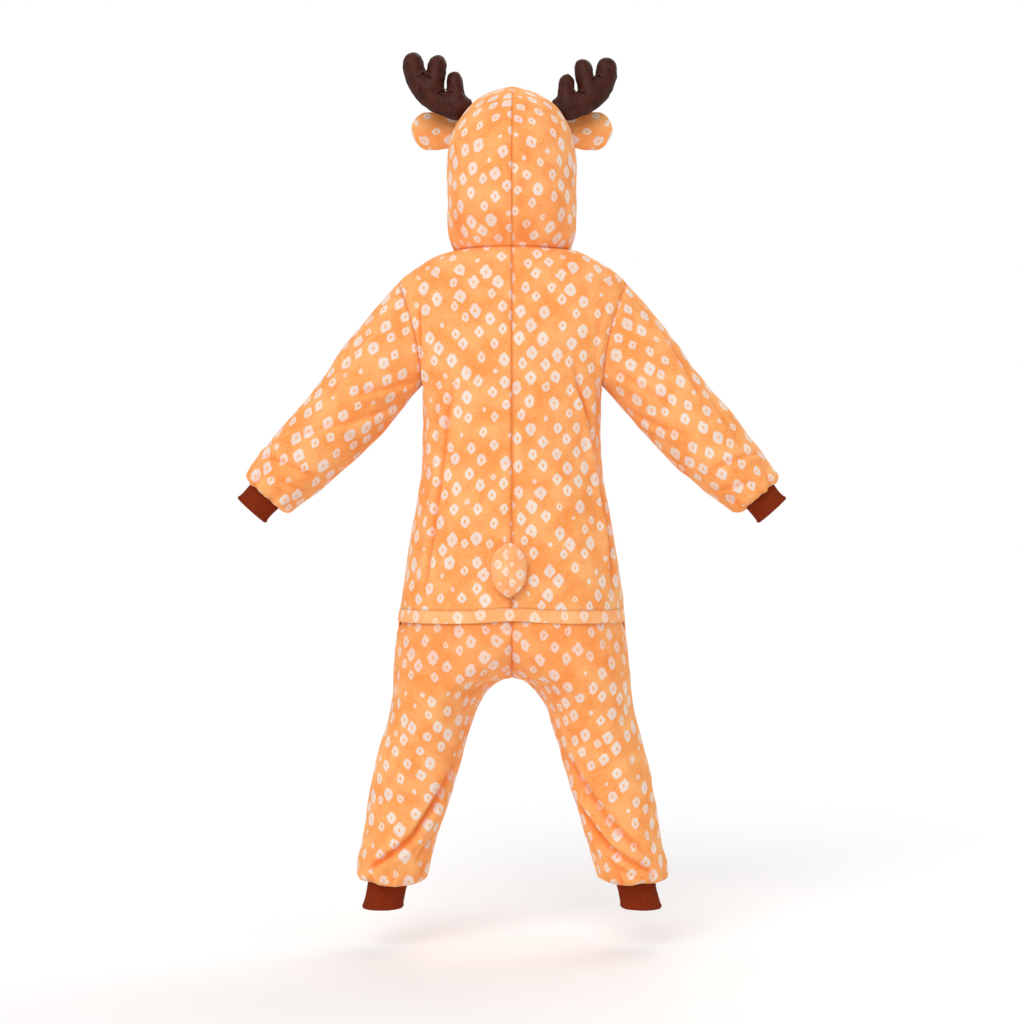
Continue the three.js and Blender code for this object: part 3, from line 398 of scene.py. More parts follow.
# %% Folds on the body
FOLD_COLUMNS = ("face", "sign", "width", "height", "crease", "line")
BACK, FRONT = 1, -1
FOLDS = [dict(zip(FOLD_COLUMNS, row)) for row in [
    # the long drapes down the sides of the back
    (BACK, -1, 4.5, 4.6, 0.9, [(73, -140), (84.5, -195), (98.7, -233), (115, -328), (125, -384),
                               (132, -470)]),
    (BACK, 1, 4, 3.8, -0.9, [(80, -165), (88, -190), (95, -233), (104, -315), (115, -397), (127, -482)]),
    (BACK, 1, 5, 2.2, 0.6, [(118, -178), (112, -235), (112, -310)]),
    (BACK, -1, 5, 2.4, 0.6, [(112, -170), (108, -240), (120, -335)]),
    (BACK, 1, 2.6, 3.4, 1.0, [(122, -66), (120.5, -100), (120, -150), (120, -215)]),
    (BACK, -1, 4, 2.0, -0.6, [(138, -66), (124, -110), (117, -172)]),
    (BACK, 1, 9, 1.6, 0.4, [(58, -390), (62, -440), (70, -484)]),
    (BACK, -1, 9, 1.6, 0.4, [(54, -330), (58, -400), (66, -480)]),
    (BACK, 1, 6, 2.4, 0.5, [(134, -350), (141, -420), (147, -486)]),
    (BACK, -1, 6, 2.2, -0.5, [(132, -360), (142, -430), (149, -486)]),
    # the seat
    (BACK, 1, 9, 2.0, -0.4, [(126, -548), (119, -566), (95, -589), (78, -606)]),
    (BACK, -1, 9, 2.0, -0.4, [(128, -540), (116, -562), (92, -585), (74, -604)]),
    (BACK, 1, 5, 1.6, 0.5, [(14, -556), (30, -588), (58, -622)]),
    (BACK, -1, 5, 1.6, 0.5, [(14, -552), (34, -590), (62, -620)]),
    # the slanting folds above the left cuff: one deep crease between two ridges
    (BACK, 1, 6.5, 5.2, 1.0, [(84, -735), (99, -763), (114.5, -785), (127, -804), (146, -822), (164, -834.5),
                              (180, -844), (204, -855)]),
    (BACK, 1, 7.5, 4.2, -0.9, [(80, -680), (92, -705), (105, -731), (116, -752), (126, -770), (140, -792),
                               (160, -808), (184, -822)]),
    (BACK, 1, 2.6, 2.0, -0.9, [(90, -755), (105, -793), (127, -818.5), (139, -838)]),
    (BACK, 1, 4.5, 3.4, -1.0, [(160, -813), (176, -823), (188, -833), (200, -846)]),
    # and above the right cuff, where the folds start higher
    (BACK, -1, 6, 5.4, -1.0, [(72, -712), (83, -734), (99, -755), (119, -784), (138, -807), (162, -823),
                              (187, -836), (206, -849)]),
    (BACK, -1, 7, 4.2, -0.9, [(76, -672), (91, -697), (104, -718), (121, -744), (138, -768), (158, -787),
                              (180, -806), (198, -826)]),
    (BACK, -1, 2.6, 2.0, -0.9, [(80, -728), (90, -760), (98.7, -788), (114, -817), (137, -846)]),
    (BACK, -1, 4, 2.6, -0.8, [(120, -815), (142, -832), (166, -845), (190, -856)]),
    # small pleats into the cuffs, and soft pulls on the outer leg
    (BACK, 1, 3, 2.4, 0.8, [(150, -846), (157, -858), (161, -868)]),
    (BACK, 1, 3, 2.2, -0.8, [(178, -850), (180, -860), (178, -869)]),
    (BACK, -1, 3, 2.4, -0.8, [(146, -846), (154, -858), (160, -868)]),
    (BACK, -1, 3, 2.2, 0.8, [(184, -850), (183, -860), (180, -869)]),
    (BACK, 1, 7, 1.8, 0.5, [(176, -640), (186, -700), (197, -760)]),
    (BACK, -1, 7, 1.8, 0.5, [(178, -650), (190, -715), (201, -780)]),
    (BACK, 1, 8, 1.6, 0.4, [(120, -640), (134, -690), (160, -742)]),
    (BACK, -1, 8, 1.6, 0.4, [(124, -632), (140, -690), (168, -730)]),
    # the front: drapes from the armholes, pulls at the crotch, folds above the cuffs
    (FRONT, 1, 6, 3.4, 0.7, [(88, -190), (100, -260), (112, -350), (124, -470), (130, -540)]),
    (FRONT, -1, 6, 3.4, -0.7, [(84, -185), (98, -270), (114, -370), (126, -480), (132, -530)]),
    (FRONT, 1, 6, 2.4, 0.6, [(120, -118), (100, -175), (68, -255)]),
    (FRONT, -1, 6, 2.4, -0.6, [(118, -124), (96, -180), (72, -246)]),
    (FRONT, 1, 8, 2.6, -0.5, [(24, -500), (60, -545), (112, -592)]),
    (FRONT, -1, 8, 2.4, -0.5, [(24, -508), (64, -552), (116, -600)]),
    (FRONT, 1, 5, 2.0, 0.5, [(16, -548), (38, -592), (74, -634)]),
    (FRONT, -1, 5, 2.0, 0.5, [(14, -550), (36, -594), (70, -638)]),
    (FRONT, 1, 6.5, 5.4, -1.0, [(86, -726), (104, -764), (130, -800), (166, -828), (204, -850)]),
    (FRONT, 1, 7, 3.6, -0.8, [(92, -690), (116, -736), (146, -776), (192, -812)]),
    (FRONT, -1, 6.5, 5.4, 1.0, [(84, -732), (102, -768), (128, -804), (168, -832), (202, -852)]),
    (FRONT, -1, 7, 3.6, -0.8, [(90, -696), (118, -744), (150, -784), (196, -818)]),
    (FRONT, 1, 3, 2.4, 0.8, [(148, -846), (156, -858), (161, -868)]),
    (FRONT, -1, 3, 2.4, -0.8, [(180, -848), (181, -860), (178, -869)]),
    (FRONT, 1, 9, 1.6, 0.4, [(58, -330), (66, -400), (84, -482)]),
    (FRONT, -1, 9, 1.8, 0.4, [(54, -350), (64, -420), (80, -486)]),
]]
HEM_GATHERS = dict(start=-815, over=42, centre=168, height=0.9)


def along_line(px, pz, line):
    """The signed distance from a line of points, and how far along it the nearest place is."""
    line = np.array(line, dtype=float)
    lengths = np.linalg.norm(np.diff(line, axis=0), axis=1)
    starts = np.concatenate([[0], np.cumsum(lengths)])
    best = np.full(px.shape, 1e9)
    signed = np.zeros(px.shape)
    share = np.zeros(px.shape)
    for k, length in enumerate(lengths):
        (x0, z0), (dx, dz) = line[k], (line[k + 1] - line[k]) / length
        t = np.clip((px - x0) * dx + (pz - z0) * dz, 0, length)
        away = np.hypot(px - x0 - t * dx, pz - z0 - t * dz)
        side = np.sign((pz - z0) * dx - (px - x0) * dz)
        nearer = away < best
        best = np.where(nearer, away, best)
        signed = np.where(nearer, away * side, signed)
        share = np.where(nearer, (starts[k] + t) / starts[-1], share)
    return signed, share


def fold_shape(away, share, width, height, crease):
    ends = smooth(share / 0.22) * smooth((1 - share) / 0.16)
    ridge = np.exp(-(away / width) ** 2)
    towards = away * math.copysign(1, crease)
    hollow = np.exp(-((towards - 1.5 * width) / (0.75 * width)) ** 2)
    return height * ends * (ridge - abs(crease) * hollow)


def body_folds(points, normals, sign):
    lift = np.zeros(points.shape[:-1])
    x, z = points[..., 0] * sign, points[..., 2]
    for fold in FOLDS:
        if fold["sign"] != sign:
            continue
        facing = smooth((normals[..., 1] * fold["face"] - 0.05) / 0.35)
        away, share = along_line(x, z, fold["line"])
        lift += facing * fold_shape(away, share, fold["width"], fold["height"], fold["crease"])
    return lift


def hem_gathers(points, sign):
    """Small gathers where the leg is drawn in to its cuff."""
    near = smooth((HEM_GATHERS["start"] - points[..., 2]) / HEM_GATHERS["over"])
    angle = np.arctan2(points[..., 1], points[..., 0] * sign - HEM_GATHERS["centre"])
    waves = np.sin(9 * angle + 0.7 * sign) + 0.7 * np.sin(14 * angle + 2.1)
    waves += 0.5 * np.sin(5 * angle - 1.0 * sign)
    return HEM_GATHERS["height"] * near * waves


def drape(points):
    """The cloth's own unevenness, the same on both sides of every seam."""
    return 1.1 * wave_noise(points, 110, 11) + 0.45 * wave_noise(points, 38, 12)


def body_lift(points, normals, sign):
    return body_folds(points, normals, sign) + hem_gathers(points, sign)


# %% [markdown]
# Sleeve folds are placed by distance along the arm and by angle round it. Most run across the inner
# elbow and above the cuff, where the sleeve is too long for the arm and slides down.

# %% Folds on the sleeves
SLEEVE_FOLD_COLUMNS = ("sign", "along0", "angle0", "along1", "angle1", "width", "height")
SLEEVE_FOLDS = [dict(zip(SLEEVE_FOLD_COLUMNS, row)) for row in [
    (1, 40, 20, 120, 80, 8, 2.6), (1, 70, 5, 170, 70, 8, 2.4), (1, 236, 30, 268, 150, 7, 3.2),
    (1, 258, 20, 282, 110, 6, 2.6), (1, 226, 120, 262, 176, 7, 2.4), (1, 20, 130, 150, 100, 9, 1.8),
    (1, 150, 60, 220, 110, 8, 1.6), (1, 60, 340, 150, 290, 9, 2.4), (1, 235, 330, 266, 215, 7, 3),
    (1, 258, 300, 282, 200, 6, 2.4), (1, 120, 250, 210, 220, 9, 1.8),
    (-1, 10, 150, 150, 116, 8, 2.6), (-1, 30, 40, 130, 70, 8, 2.4), (-1, 90, 10, 180, 60, 8, 2.2),
    (-1, 232, 50, 266, 160, 7, 3.2), (-1, 256, 16, 284, 100, 6, 2.6), (-1, 150, 130, 240, 110, 7, 1.8),
    (-1, 60, 335, 150, 285, 9, 2.4), (-1, 238, 320, 268, 210, 7, 3), (-1, 256, 290, 284, 205, 6, 2.4),
    (-1, 30, 200, 140, 240, 9, 1.8),
]]
# A degree round the arm is about this many mm, so that both directions of a fold use one measure
MM_PER_DEGREE = 0.9
SLEEVE_GATHERS = dict(start=255, over=40)


def soft_sleeve(points, sign):
    half = points * np.array([sign, 1, 1])
    offset = half - SLEEVE_ORIGIN
    along, up = offset @ SLEEVE_ALONG, offset @ SLEEVE_UP
    angle = np.degrees(np.arctan2(half[..., 1], -up)) % 360
    lift = np.zeros(along.shape)
    for fold in SLEEVE_FOLDS:
        if fold["sign"] != sign:
            continue
        turn = (angle - fold["angle0"] + 180) % 360 - 180
        end = (fold["along1"] - fold["along0"], (fold["angle1"] - fold["angle0"]) * MM_PER_DEGREE)
        away, share = along_line(along - fold["along0"], turn * MM_PER_DEGREE, [(0, 0), end])
        lift += fold_shape(away, share, fold["width"] * 0.75, fold["height"], 0.8)
    near = smooth((along - SLEEVE_GATHERS["start"]) / SLEEVE_GATHERS["over"])
    turns = np.radians(angle)
    gathers = 0.9 * np.sin(8 * turns + sign) + 0.7 * np.sin(13 * turns + 2) + 0.5 * np.sin(5 * turns)
    return lift + near * gathers


# %% [markdown]
# A panel is a fine grid of points. Its normals agree with its neighbours' along every seam, so the
# folds carry across, and the cloth dips at the seam line, as a sewn seam pulls its two sides in.

# %% Panels of the shell
def grid_normals(grid, closed, flip):
    """Normals at the points, each face counting by its area, so slivers have no say."""
    ring = np.concatenate([grid, grid[:, :1]], axis=1) if closed else grid
    faces = np.cross(ring[1:, 1:] - ring[:-1, :-1], ring[1:, :-1] - ring[:-1, 1:])
    normals = np.zeros_like(ring)
    for rows in (slice(None, -1), slice(1, None)):
        for columns in (slice(None, -1), slice(1, None)):
            normals[rows, columns] += faces
    if closed:
        normals[:, 0] += normals[:, -1]
        normals = normals[:, :-1]
    normals /= np.maximum(np.linalg.norm(normals, axis=-1, keepdims=True), 1e-9)
    return -normals if flip else normals


def border(panel):
    rows, columns = panel["grid"].shape[:2]
    spots = [(i, j) for i in (0, rows - 1) for j in range(columns)]
    if not panel["closed"]:
        spots += [(i, j) for i in range(1, rows - 1) for j in (0, columns - 1)]
    return spots


def share_normals(panels):
    shared = {}
    for panel in panels:
        for i, j in border(panel):
            key = tuple(np.round(panel["grid"][i, j] * 20).astype(int))
            entry = shared.setdefault(key, {"trunk": np.zeros(3), "limb": np.zeros(3)})
            entry[panel["joins"]] += panel["normals"][i, j]
    for panel in panels:
        for i, j in border(panel):
            point = panel["grid"][i, j]
            entry = shared[tuple(np.round(point * 20).astype(int))]
            parts = [v / np.linalg.norm(v) for v in entry.values() if np.linalg.norm(v) > 1e-6]
            direction = sum(parts)
            direction = np.where(np.abs([point[0], point[1], 1]) < 1e-6, 0, direction)
            if np.linalg.norm(point - [0, 0, CROTCH_Z]) < 1e-6:
                direction = np.array([0.0, 0, -1])
            panel["normals"][i, j] = direction / max(np.linalg.norm(direction), 1e-9)


def steps_along(grid, axis, closed=False):
    if closed:
        grid = np.concatenate([grid, grid[:, :1]], axis=1)
    length = np.linalg.norm(np.diff(grid, axis=axis), axis=-1)
    start = np.zeros_like(np.take(length, [0], axis=axis))
    return np.concatenate([start, np.cumsum(length, axis=axis)], axis=axis)


def seam_distance(grid, seams):
    """How far each point of a grid is from the nearest of the named seams."""
    lines = {"first_column": grid[:, 0], "last_column": grid[:, -1],
             "first_row": grid[0], "last_row": grid[-1]}
    marks = []
    for seam in seams:
        line = lines[seam]
        marks += [mix(line[:-1], line[1:], t) for t in np.linspace(0, 1, 6)]
    marks = np.concatenate(marks)
    tree = KDTree(len(marks))
    for number, mark in enumerate(marks):
        tree.insert(mark, number)
    tree.balance()
    return np.array([tree.find(point)[2] for point in grid.reshape(-1, 3)]).reshape(grid.shape[:2])


def tube_uv(grid):
    across = steps_along(grid, 1, True)
    across = across - across[:, -1:] / 2
    middle = steps_along(grid, 0).mean(axis=1)
    return np.stack([across, np.repeat(middle[:, None], across.shape[1], axis=1)], axis=-1)


# %% [markdown]
# The cloth builder closes a wall from such a grid: the right side, the wrong side one thickness in,
# and the cut edges. Two marks go with it: how far along the cut cloth each corner is, for the
# pattern, and which faces are the wrong side.

# %% Cloth builder
def cloth(name, outer, normals, uv, thick, closed=False):
    rows, columns = outer.shape[:2]
    inner = outer - normals * thick
    verts = np.concatenate([outer.reshape(-1, 3), inner.reshape(-1, 3)]) / 1000
    layer = rows * columns
    wide = columns if closed else columns - 1
    i, j = np.meshgrid(np.arange(rows - 1), np.arange(wide), indexing="ij")
    i, j = i.ravel(), j.ravel()
    after = (j + 1) % columns
    a, b, c, d = i * columns + j, i * columns + after, (i + 1) * columns + after, (i + 1) * columns + j
    mid_r, mid_c = rows // 2, columns // 2
    facing = np.cross(outer[mid_r, mid_c + 1] - outer[mid_r, mid_c],
                      outer[mid_r + 1, mid_c] - outer[mid_r, mid_c]) @ normals[mid_r, mid_c]
    quads = [np.stack([a, b, c, d], 1), np.stack([a, d, c, b], 1) + layer]
    corner = np.stack([np.stack([i, j], 1), np.stack([i, j + 1], 1), np.stack([i + 1, j + 1], 1),
                       np.stack([i + 1, j], 1)], 1)
    spots = [corner, corner[:, [0, 3, 2, 1]]]
    wrong = [np.zeros(len(a)), np.ones(len(a))]

    def rim(ids, places, turn):
        p, q = ids[:-1], ids[1:]
        s, t = places[:-1], places[1:]
        quad = np.stack([q, p, p + layer, q + layer], 1)
        place = np.stack([t, s, s, t], 1)
        quads.append(quad[:, ::-1] if turn else quad)
        spots.append(place[:, ::-1] if turn else place)
        wrong.append(np.zeros(len(p)))

    around = np.arange(columns + 1) % columns if closed else np.arange(columns)
    across = np.arange(len(around))
    rim(around, np.stack([np.zeros_like(across), across], 1), False)
    rim(around + (rows - 1) * columns, np.stack([np.full_like(across, rows - 1), across], 1), True)
    if not closed:
        down = np.arange(rows)
        rim(down * columns, np.stack([down, np.zeros_like(down)], 1), True)
        rim(down * columns + columns - 1, np.stack([down, np.full_like(down, columns - 1)], 1), False)
    faces = np.concatenate(quads)
    places = np.concatenate(spots)
    if facing < 0:
        faces, places = faces[:, ::-1], places[:, ::-1]
    mesh = bpy.data.meshes.new(name)
    mesh.from_pydata(verts.tolist(), [], faces.tolist())
    layer_uv = mesh.uv_layers.new(name="cut")
    flat = uv[places[..., 0].ravel(), places[..., 1].ravel()] / 1000
    layer_uv.data.foreach_set("uv", flat.astype(np.float32).ravel())
    mark = mesh.attributes.new("wrong_side", "FLOAT", "FACE")
    mark.data.foreach_set("value", np.concatenate(wrong).astype(np.float32))
    mesh.polygons.foreach_set("use_smooth", np.ones(len(mesh.polygons), dtype=bool))
    mesh.update()
    piece = bpy.data.objects.new(name, mesh)
    scene.collection.objects.link(piece)
    return piece


def mark_points(piece, name, values):
    """Writes one number for every point, on both sides of the wall."""
    share = len(piece.data.vertices) // values.size
    mark = piece.data.attributes.new(name, "FLOAT", "POINT")
    mark.data.foreach_set("value", np.tile(values.ravel(), share).astype(np.float32))


def quad_area(grid, closed=False):
    if closed:
        grid = np.concatenate([grid, grid[:, :1]], axis=1)
    p, q, r, s = grid[:-1, :-1], grid[:-1, 1:], grid[1:, 1:], grid[1:, :-1]
    first = np.linalg.norm(np.cross(q - p, r - p), axis=-1)
    second = np.linalg.norm(np.cross(r - p, s - p), axis=-1)
    return float((first + second).sum() / 2)


def declare(piece, node, grid, closed=False):
    """Hangs the piece on the root and hides the part it stands for; the width, length and area of its cloth
    are worked out but not used.
    """
    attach(piece, "root")
    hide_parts(node)
    width = float(steps_along(grid, 1, closed)[:, -1].max()) / 1000
    length = float(steps_along(grid, 0)[-1].max()) / 1000
    area = min(quad_area(grid, closed) / 1e6, width * length)


# %% [markdown]
# The pattern lies on the flat cloth before it is cut, so each curved panel is unfolded as a pattern
# cutter would do it. Blender's unwrap does that on a coarser copy of the panel.

# %% Unfolding a panel
def unfold(grid):
    rows, columns = grid.shape[:2]
    mesh = bpy.data.meshes.new("unfold")
    faces = [(i * columns + j, i * columns + j + 1, (i + 1) * columns + j + 1, (i + 1) * columns + j)
             for i in range(rows - 1) for j in range(columns - 1)]
    mesh.from_pydata((grid.reshape(-1, 3) / 1000).tolist(), [], faces)
    helper = bpy.data.objects.new("unfold", mesh)
    scene.collection.objects.link(helper)
    bpy.context.view_layer.objects.active = helper
    bpy.ops.object.mode_set(mode="EDIT")
    bpy.ops.mesh.select_all(action="SELECT")
    bpy.ops.uv.unwrap(method="MINIMUM_STRETCH", iterations=12, margin=0)
    bpy.ops.object.mode_set(mode="OBJECT")
    flat = np.zeros(len(mesh.loops) * 2)
    mesh.uv_layers.active.data.foreach_get("uv", flat)
    corners = np.zeros(len(mesh.loops), dtype=int)
    mesh.loops.foreach_get("vertex_index", corners)
    uv = np.zeros((rows * columns, 2))
    uv[corners] = flat.reshape(-1, 2)
    bpy.data.objects.remove(helper)
    bpy.data.meshes.remove(mesh)
    return uv.reshape(rows, columns, 2)


def flat_cut(grid, grain_rows):
    """Flat coordinates in mm, turned so that the first column runs up between two of its rows."""
    keep_rows = np.unique(np.append(np.arange(0, grid.shape[0], 3), grid.shape[0] - 1))
    keep_columns = np.unique(np.append(np.arange(0, grid.shape[1], 3), grid.shape[1] - 1))
    coarse = grid[keep_rows][:, keep_columns]
    uv = unfold(coarse)
    lifted = np.concatenate([uv, np.zeros(uv.shape[:2] + (1,))], axis=-1)
    uv *= math.sqrt(quad_area(coarse) / quad_area(lifted))
    rows, columns = np.arange(grid.shape[0]), np.arange(grid.shape[1])
    fine = np.stack([[np.interp(columns, keep_columns, row[:, k]) for row in uv] for k in (0, 1)], -1)
    fine = np.stack([[np.interp(rows, keep_rows, fine[:, j, k]) for j in columns] for k in (0, 1)], -1)
    fine = fine.transpose(1, 0, 2)
    up = fine[grain_rows[1], 0] - fine[grain_rows[0], 0]
    up /= np.linalg.norm(up)
    return np.stack([fine @ np.array([up[1], -up[0]]), fine @ up], axis=-1)


# %% Fronts, seats, backs, sleeves and hood
ROLL_STARTS = {"left": np.array([3, 11]), "right": np.array([1871, 742])}
SEAMS = {
    "front": ("first_column", "last_column", "last_row"),
    "seat": ("first_column", "last_column"),
    "back": ("first_column", "last_column", "last_row"),
    "sleeve": ("first_column", "first_row"),
    "hood": ("first_column", "first_row", "last_row"),
}
NECK_ROWS = {"front": "last_row", "back": "last_row", "hood": "first_row"}
SEAM_DIP = dict(deep=0.9, width=2.6)
# How far the leg's end hangs below the cut part's, at places across the leg; a notch is below nothing
LOBES = {1: ([104, 112, 120, 130, 145, 160, 174, 183, 189, 194, 199, 206, 214],
             [0, 0.2, 1, 2.4, 3.4, 3.6, 2.6, 1, -2, -4.4, -1.6, -0.4, 0]),
         -1: ([108, 118, 128, 138, 150, 164, 172, 178, 184, 194, 204, 214],
              [0, 0, 0.6, 1.8, 2.6, 1.8, -0.4, -3, -0.6, 0, 0, 0])}
SLEEVE_GRAIN = math.radians(-24)
NECK_BUMPS = dict(at=20, reach=26, height=1.5)
FACE_HEM = dict(deep=11, height=0.9)
SEAM_FADE = 9
ROLL_FADE = dict(start=-860, over=7)
UNDER_FLAP = dict(start=-520, over=8, back=0.6)
FLAP_ARCH = dict(rise=4.2, half=46, start=-430, over=60)
# Painted shade on the seat under the flap: its orange deepens upwards towards the flap
SHADED = dict(share=0.3, start=-640, over=110)
PANEL_STEP = 137
sources = [
    ("front", body_grid(front_rows, -1, COLUMNS), False, False, (-80, -20)),
    ("seat", body_grid(seat_all_rows, 1, COLUMNS), True, False, (-20, -1)),
    ("back", body_grid(back_rows, 1, COLUMNS), True, False, (5, -20)),
    ("sleeve", sleeve_grid(), False, True, (70, 20)),
    ("hood", hood_grid(), True, False, (2, 50)),
]
flat_cuts = {}
for name, grid, _, closed, grain in sources:
    flat_cuts[name] = flat_cut(np.concatenate([grid, grid[:, :1]], axis=1) if closed else grid, grain)
grain_cos, grain_sin = math.cos(SLEEVE_GRAIN), math.sin(SLEEVE_GRAIN)
flat_cuts["sleeve"] = flat_cuts["sleeve"] @ np.array([[grain_cos, grain_sin], [-grain_sin, grain_cos]])
print("unfolded:", ", ".join(flat_cuts))


def own_lift(name, grid, normals, sign):
    if name == "sleeve":
        return soft_sleeve(grid, sign)
    if name == "hood":
        neck = np.exp(-((grid[..., 2] - NECK_BUMPS["at"]) / NECK_BUMPS["reach"]) ** 2)
        return neck * NECK_BUMPS["height"] * wave_noise(grid * [1, 1, 0.25], 44, 21 + sign)
    return body_lift(grid, normals, sign)


def flap_arch(points):
    """The tail's weight and seam pull the flap up a little at its middle."""
    middle = np.exp(-(points[..., 0] / FLAP_ARCH["half"]) ** 2)
    return FLAP_ARCH["rise"] * middle * smooth((FLAP_ARCH["start"] - points[..., 2]) / FLAP_ARCH["over"])


def blouse(grid, sign):
    """The leg's end hangs over its cuff in lobes, with a notch where a gather pulls it up."""
    rows, x = np.arange(grid.shape[0])[:, None], grid[..., 0] * sign
    share = np.interp(rows, [0, 1, 2, 4, 9, 16], [0, 0.5, 0.8, 1, 0.8, 0])
    drop = np.interp(x, *LOBES[sign])
    centre = np.array([ANKLE["x"] * sign, 0, 0])
    out = (grid - centre) * [1, 1, 0]
    out /= np.maximum(np.linalg.norm(out, axis=-1, keepdims=True), 1e-9)
    push = np.interp(rows, [0, 1, 2, 6], [0, 1.4, 1.4, 0]) * np.clip(drop / 4, 0, 1)
    return np.stack([0 * x, 0 * x, -share * drop], axis=-1) + out * push[..., None]


def shell(side, sign):
    panels = []
    for name, base, flip, closed, _ in sources:
        grid = base * [sign, 1, 1]
        normals = grid_normals(grid, closed, flip if sign > 0 else not flip)
        panels.append(dict(name=name, grid=grid, normals=normals, closed=closed,
                           joins="limb" if name in ("sleeve", "hood") else "trunk"))
    share_normals(panels)
    pieces = {}
    for number, panel in enumerate(panels):
        name, grid, normals = panel["name"], panel["grid"], panel["normals"]
        from_seam = seam_distance(grid, SEAMS[name])
        from_sides = seam_distance(grid, [seam for seam in SEAMS[name] if seam != NECK_ROWS.get(name)])
        own = own_lift(name, grid, normals, sign) * smooth(from_seam / SEAM_FADE)
        lift = own + drape(grid)
        if name in ("front", "seat"):
            lift *= 1 - smooth((ROLL_FADE["start"] - grid[..., 2]) / ROLL_FADE["over"])
        if name == "seat":
            hidden = smooth((grid[..., 2] - UNDER_FLAP["start"]) / UNDER_FLAP["over"])
            lift = lift * (1 - hidden) - UNDER_FLAP["back"] * hidden
        lift -= SEAM_DIP["deep"] * np.exp(-(from_sides / SEAM_DIP["width"]) ** 2)
        if name == "hood":
            from_face = seam_distance(grid, ("last_column",))
            lift += FACE_HEM["height"] * smooth((FACE_HEM["deep"] - from_face) / 1.5)
            lift -= 0.5 * np.exp(-((from_face - FACE_HEM["deep"]) / 0.9) ** 2)
        outer = grid + normals * lift[..., None]
        if name == "back":
            outer[..., 2] += flap_arch(grid)
        if name in ("front", "seat"):
            outer += blouse(grid, sign)
        if not panel["closed"]:
            outer[np.abs(grid[..., 0]) < 1e-6, 0] = 0
        if name == "sleeve":
            outer[-1] = grid[-1]
        roll = flat_cuts[name] * [sign, 1] + ROLL_STARTS[side] + PANEL_STEP * (number + 1)
        piece = cloth(f"fleece_{name}_{side}", outer, normals, roll, FLEECE, panel["closed"])
        declare(piece, f"{name}_{side}", grid, panel["closed"])
        # Painted shade, kept as the crease mark: the orange deepens in fold hollows, along the seams and on
        # the seat under the flap
        pinched = 0.8 * np.exp(-(from_seam / 1.1) ** 2)
        flap_shade = 0
        if name == "seat":
            flap_shade = SHADED["share"] * smooth((grid[..., 2] - SHADED["start"]) / SHADED["over"])
        mark_points(piece, "crease", np.clip(np.maximum(-own / 3.2, pinched) + flap_shade, 0, 1))
        panel["outer"] = outer
        pieces[name] = (piece, panel)
    return pieces


left = shell("left", 1)
right = shell("right", -1)
fleece_pieces = [piece for half in (left, right) for piece, _ in half.values()]
print("fleece panels:", len(fleece_pieces))

# %% [markdown]
# The back flap ends in a doubled hem that lies over the seat and stands a little proud of it.

# %% Flap hem
HEM_STEPS = 11
HEM_THICK = 3.0
HEM_PROUD = 1.0
HEM_PUFF = dict(height=0.7, back=0.6)
HEM_ROLL_START = (41, 77)


def flap_hem_grid():
    rows = []
    for z in np.linspace(FLAP_EDGE_Z, FLAP_STITCH_Z, HEM_STEPS):
        level = trunk_level(z)
        level["side"] += HEM_PROUD
        level["back"] += HEM_PROUD
        half = np.array([body_point(level, 1, t) for t in np.linspace(0, 1, COLUMNS + 1)])
        rows.append(np.concatenate([half[:0:-1] * [-1, 1, 1], half]))
    return np.array(rows)


hem_grid = flap_hem_grid()
hem_normals = grid_normals(hem_grid, False, True)
hem_normals[:, [0, -1], 1] = 0
hem_lift = np.where(hem_grid[..., 0] > 0, body_folds(hem_grid, hem_normals, 1),
                    body_folds(hem_grid, hem_normals, -1))
hem_ends = steps_along(hem_grid, 1)
hem_fade = np.minimum(hem_ends, hem_ends[:, -1:] - hem_ends)
hem_fade = np.minimum(hem_fade, np.abs(hem_ends - hem_ends[:, -1:] / 2))
hem_lift = hem_lift * smooth(hem_fade / SEAM_FADE) + drape(hem_grid) + 0.3 * wave_noise(hem_grid, 22, 15)
puff = np.sin(np.linspace(0.25, np.pi, HEM_STEPS))[:, None]
hem_lift = hem_lift + HEM_PUFF["height"] * puff - HEM_PUFF["back"]
hem_outer = hem_grid + hem_normals * hem_lift[..., None]
hem_outer[..., 2] += flap_arch(hem_grid)
hem_top = np.concatenate([right["back"][1]["outer"][0, :0:-1], left["back"][1]["outer"][0]])
hem_outer[-1] = hem_top - hem_normals[-1] * 0.7
hem_uv = np.stack([hem_ends, steps_along(hem_grid, 0)], axis=-1) + HEM_ROLL_START
flap_hem = cloth("fleece_flap_hem", hem_outer, hem_normals, hem_uv, HEM_THICK)
declare(flap_hem, "flap_hem", hem_grid)
# Painted highlight: the rim mark lightens the whole flap hem
mark_points(flap_hem, "rim", np.full(hem_grid.shape[:2], 0.4))
fleece_pieces.append(flap_hem)

# %% [markdown]
# Cuffs are two-by-two rib knit: round ridges all the way round, drawn in a little at the waist and
# rolled outwards at the free edge. The ribs are real, because their edge shows against the light.

# %% Rib cuffs
RIBS = 64
RIB_STEPS = RIBS * 8
RIB_THICK = 2.2
RIDGE = dict(height=0.32, valley=0.2, roundness=0.7)


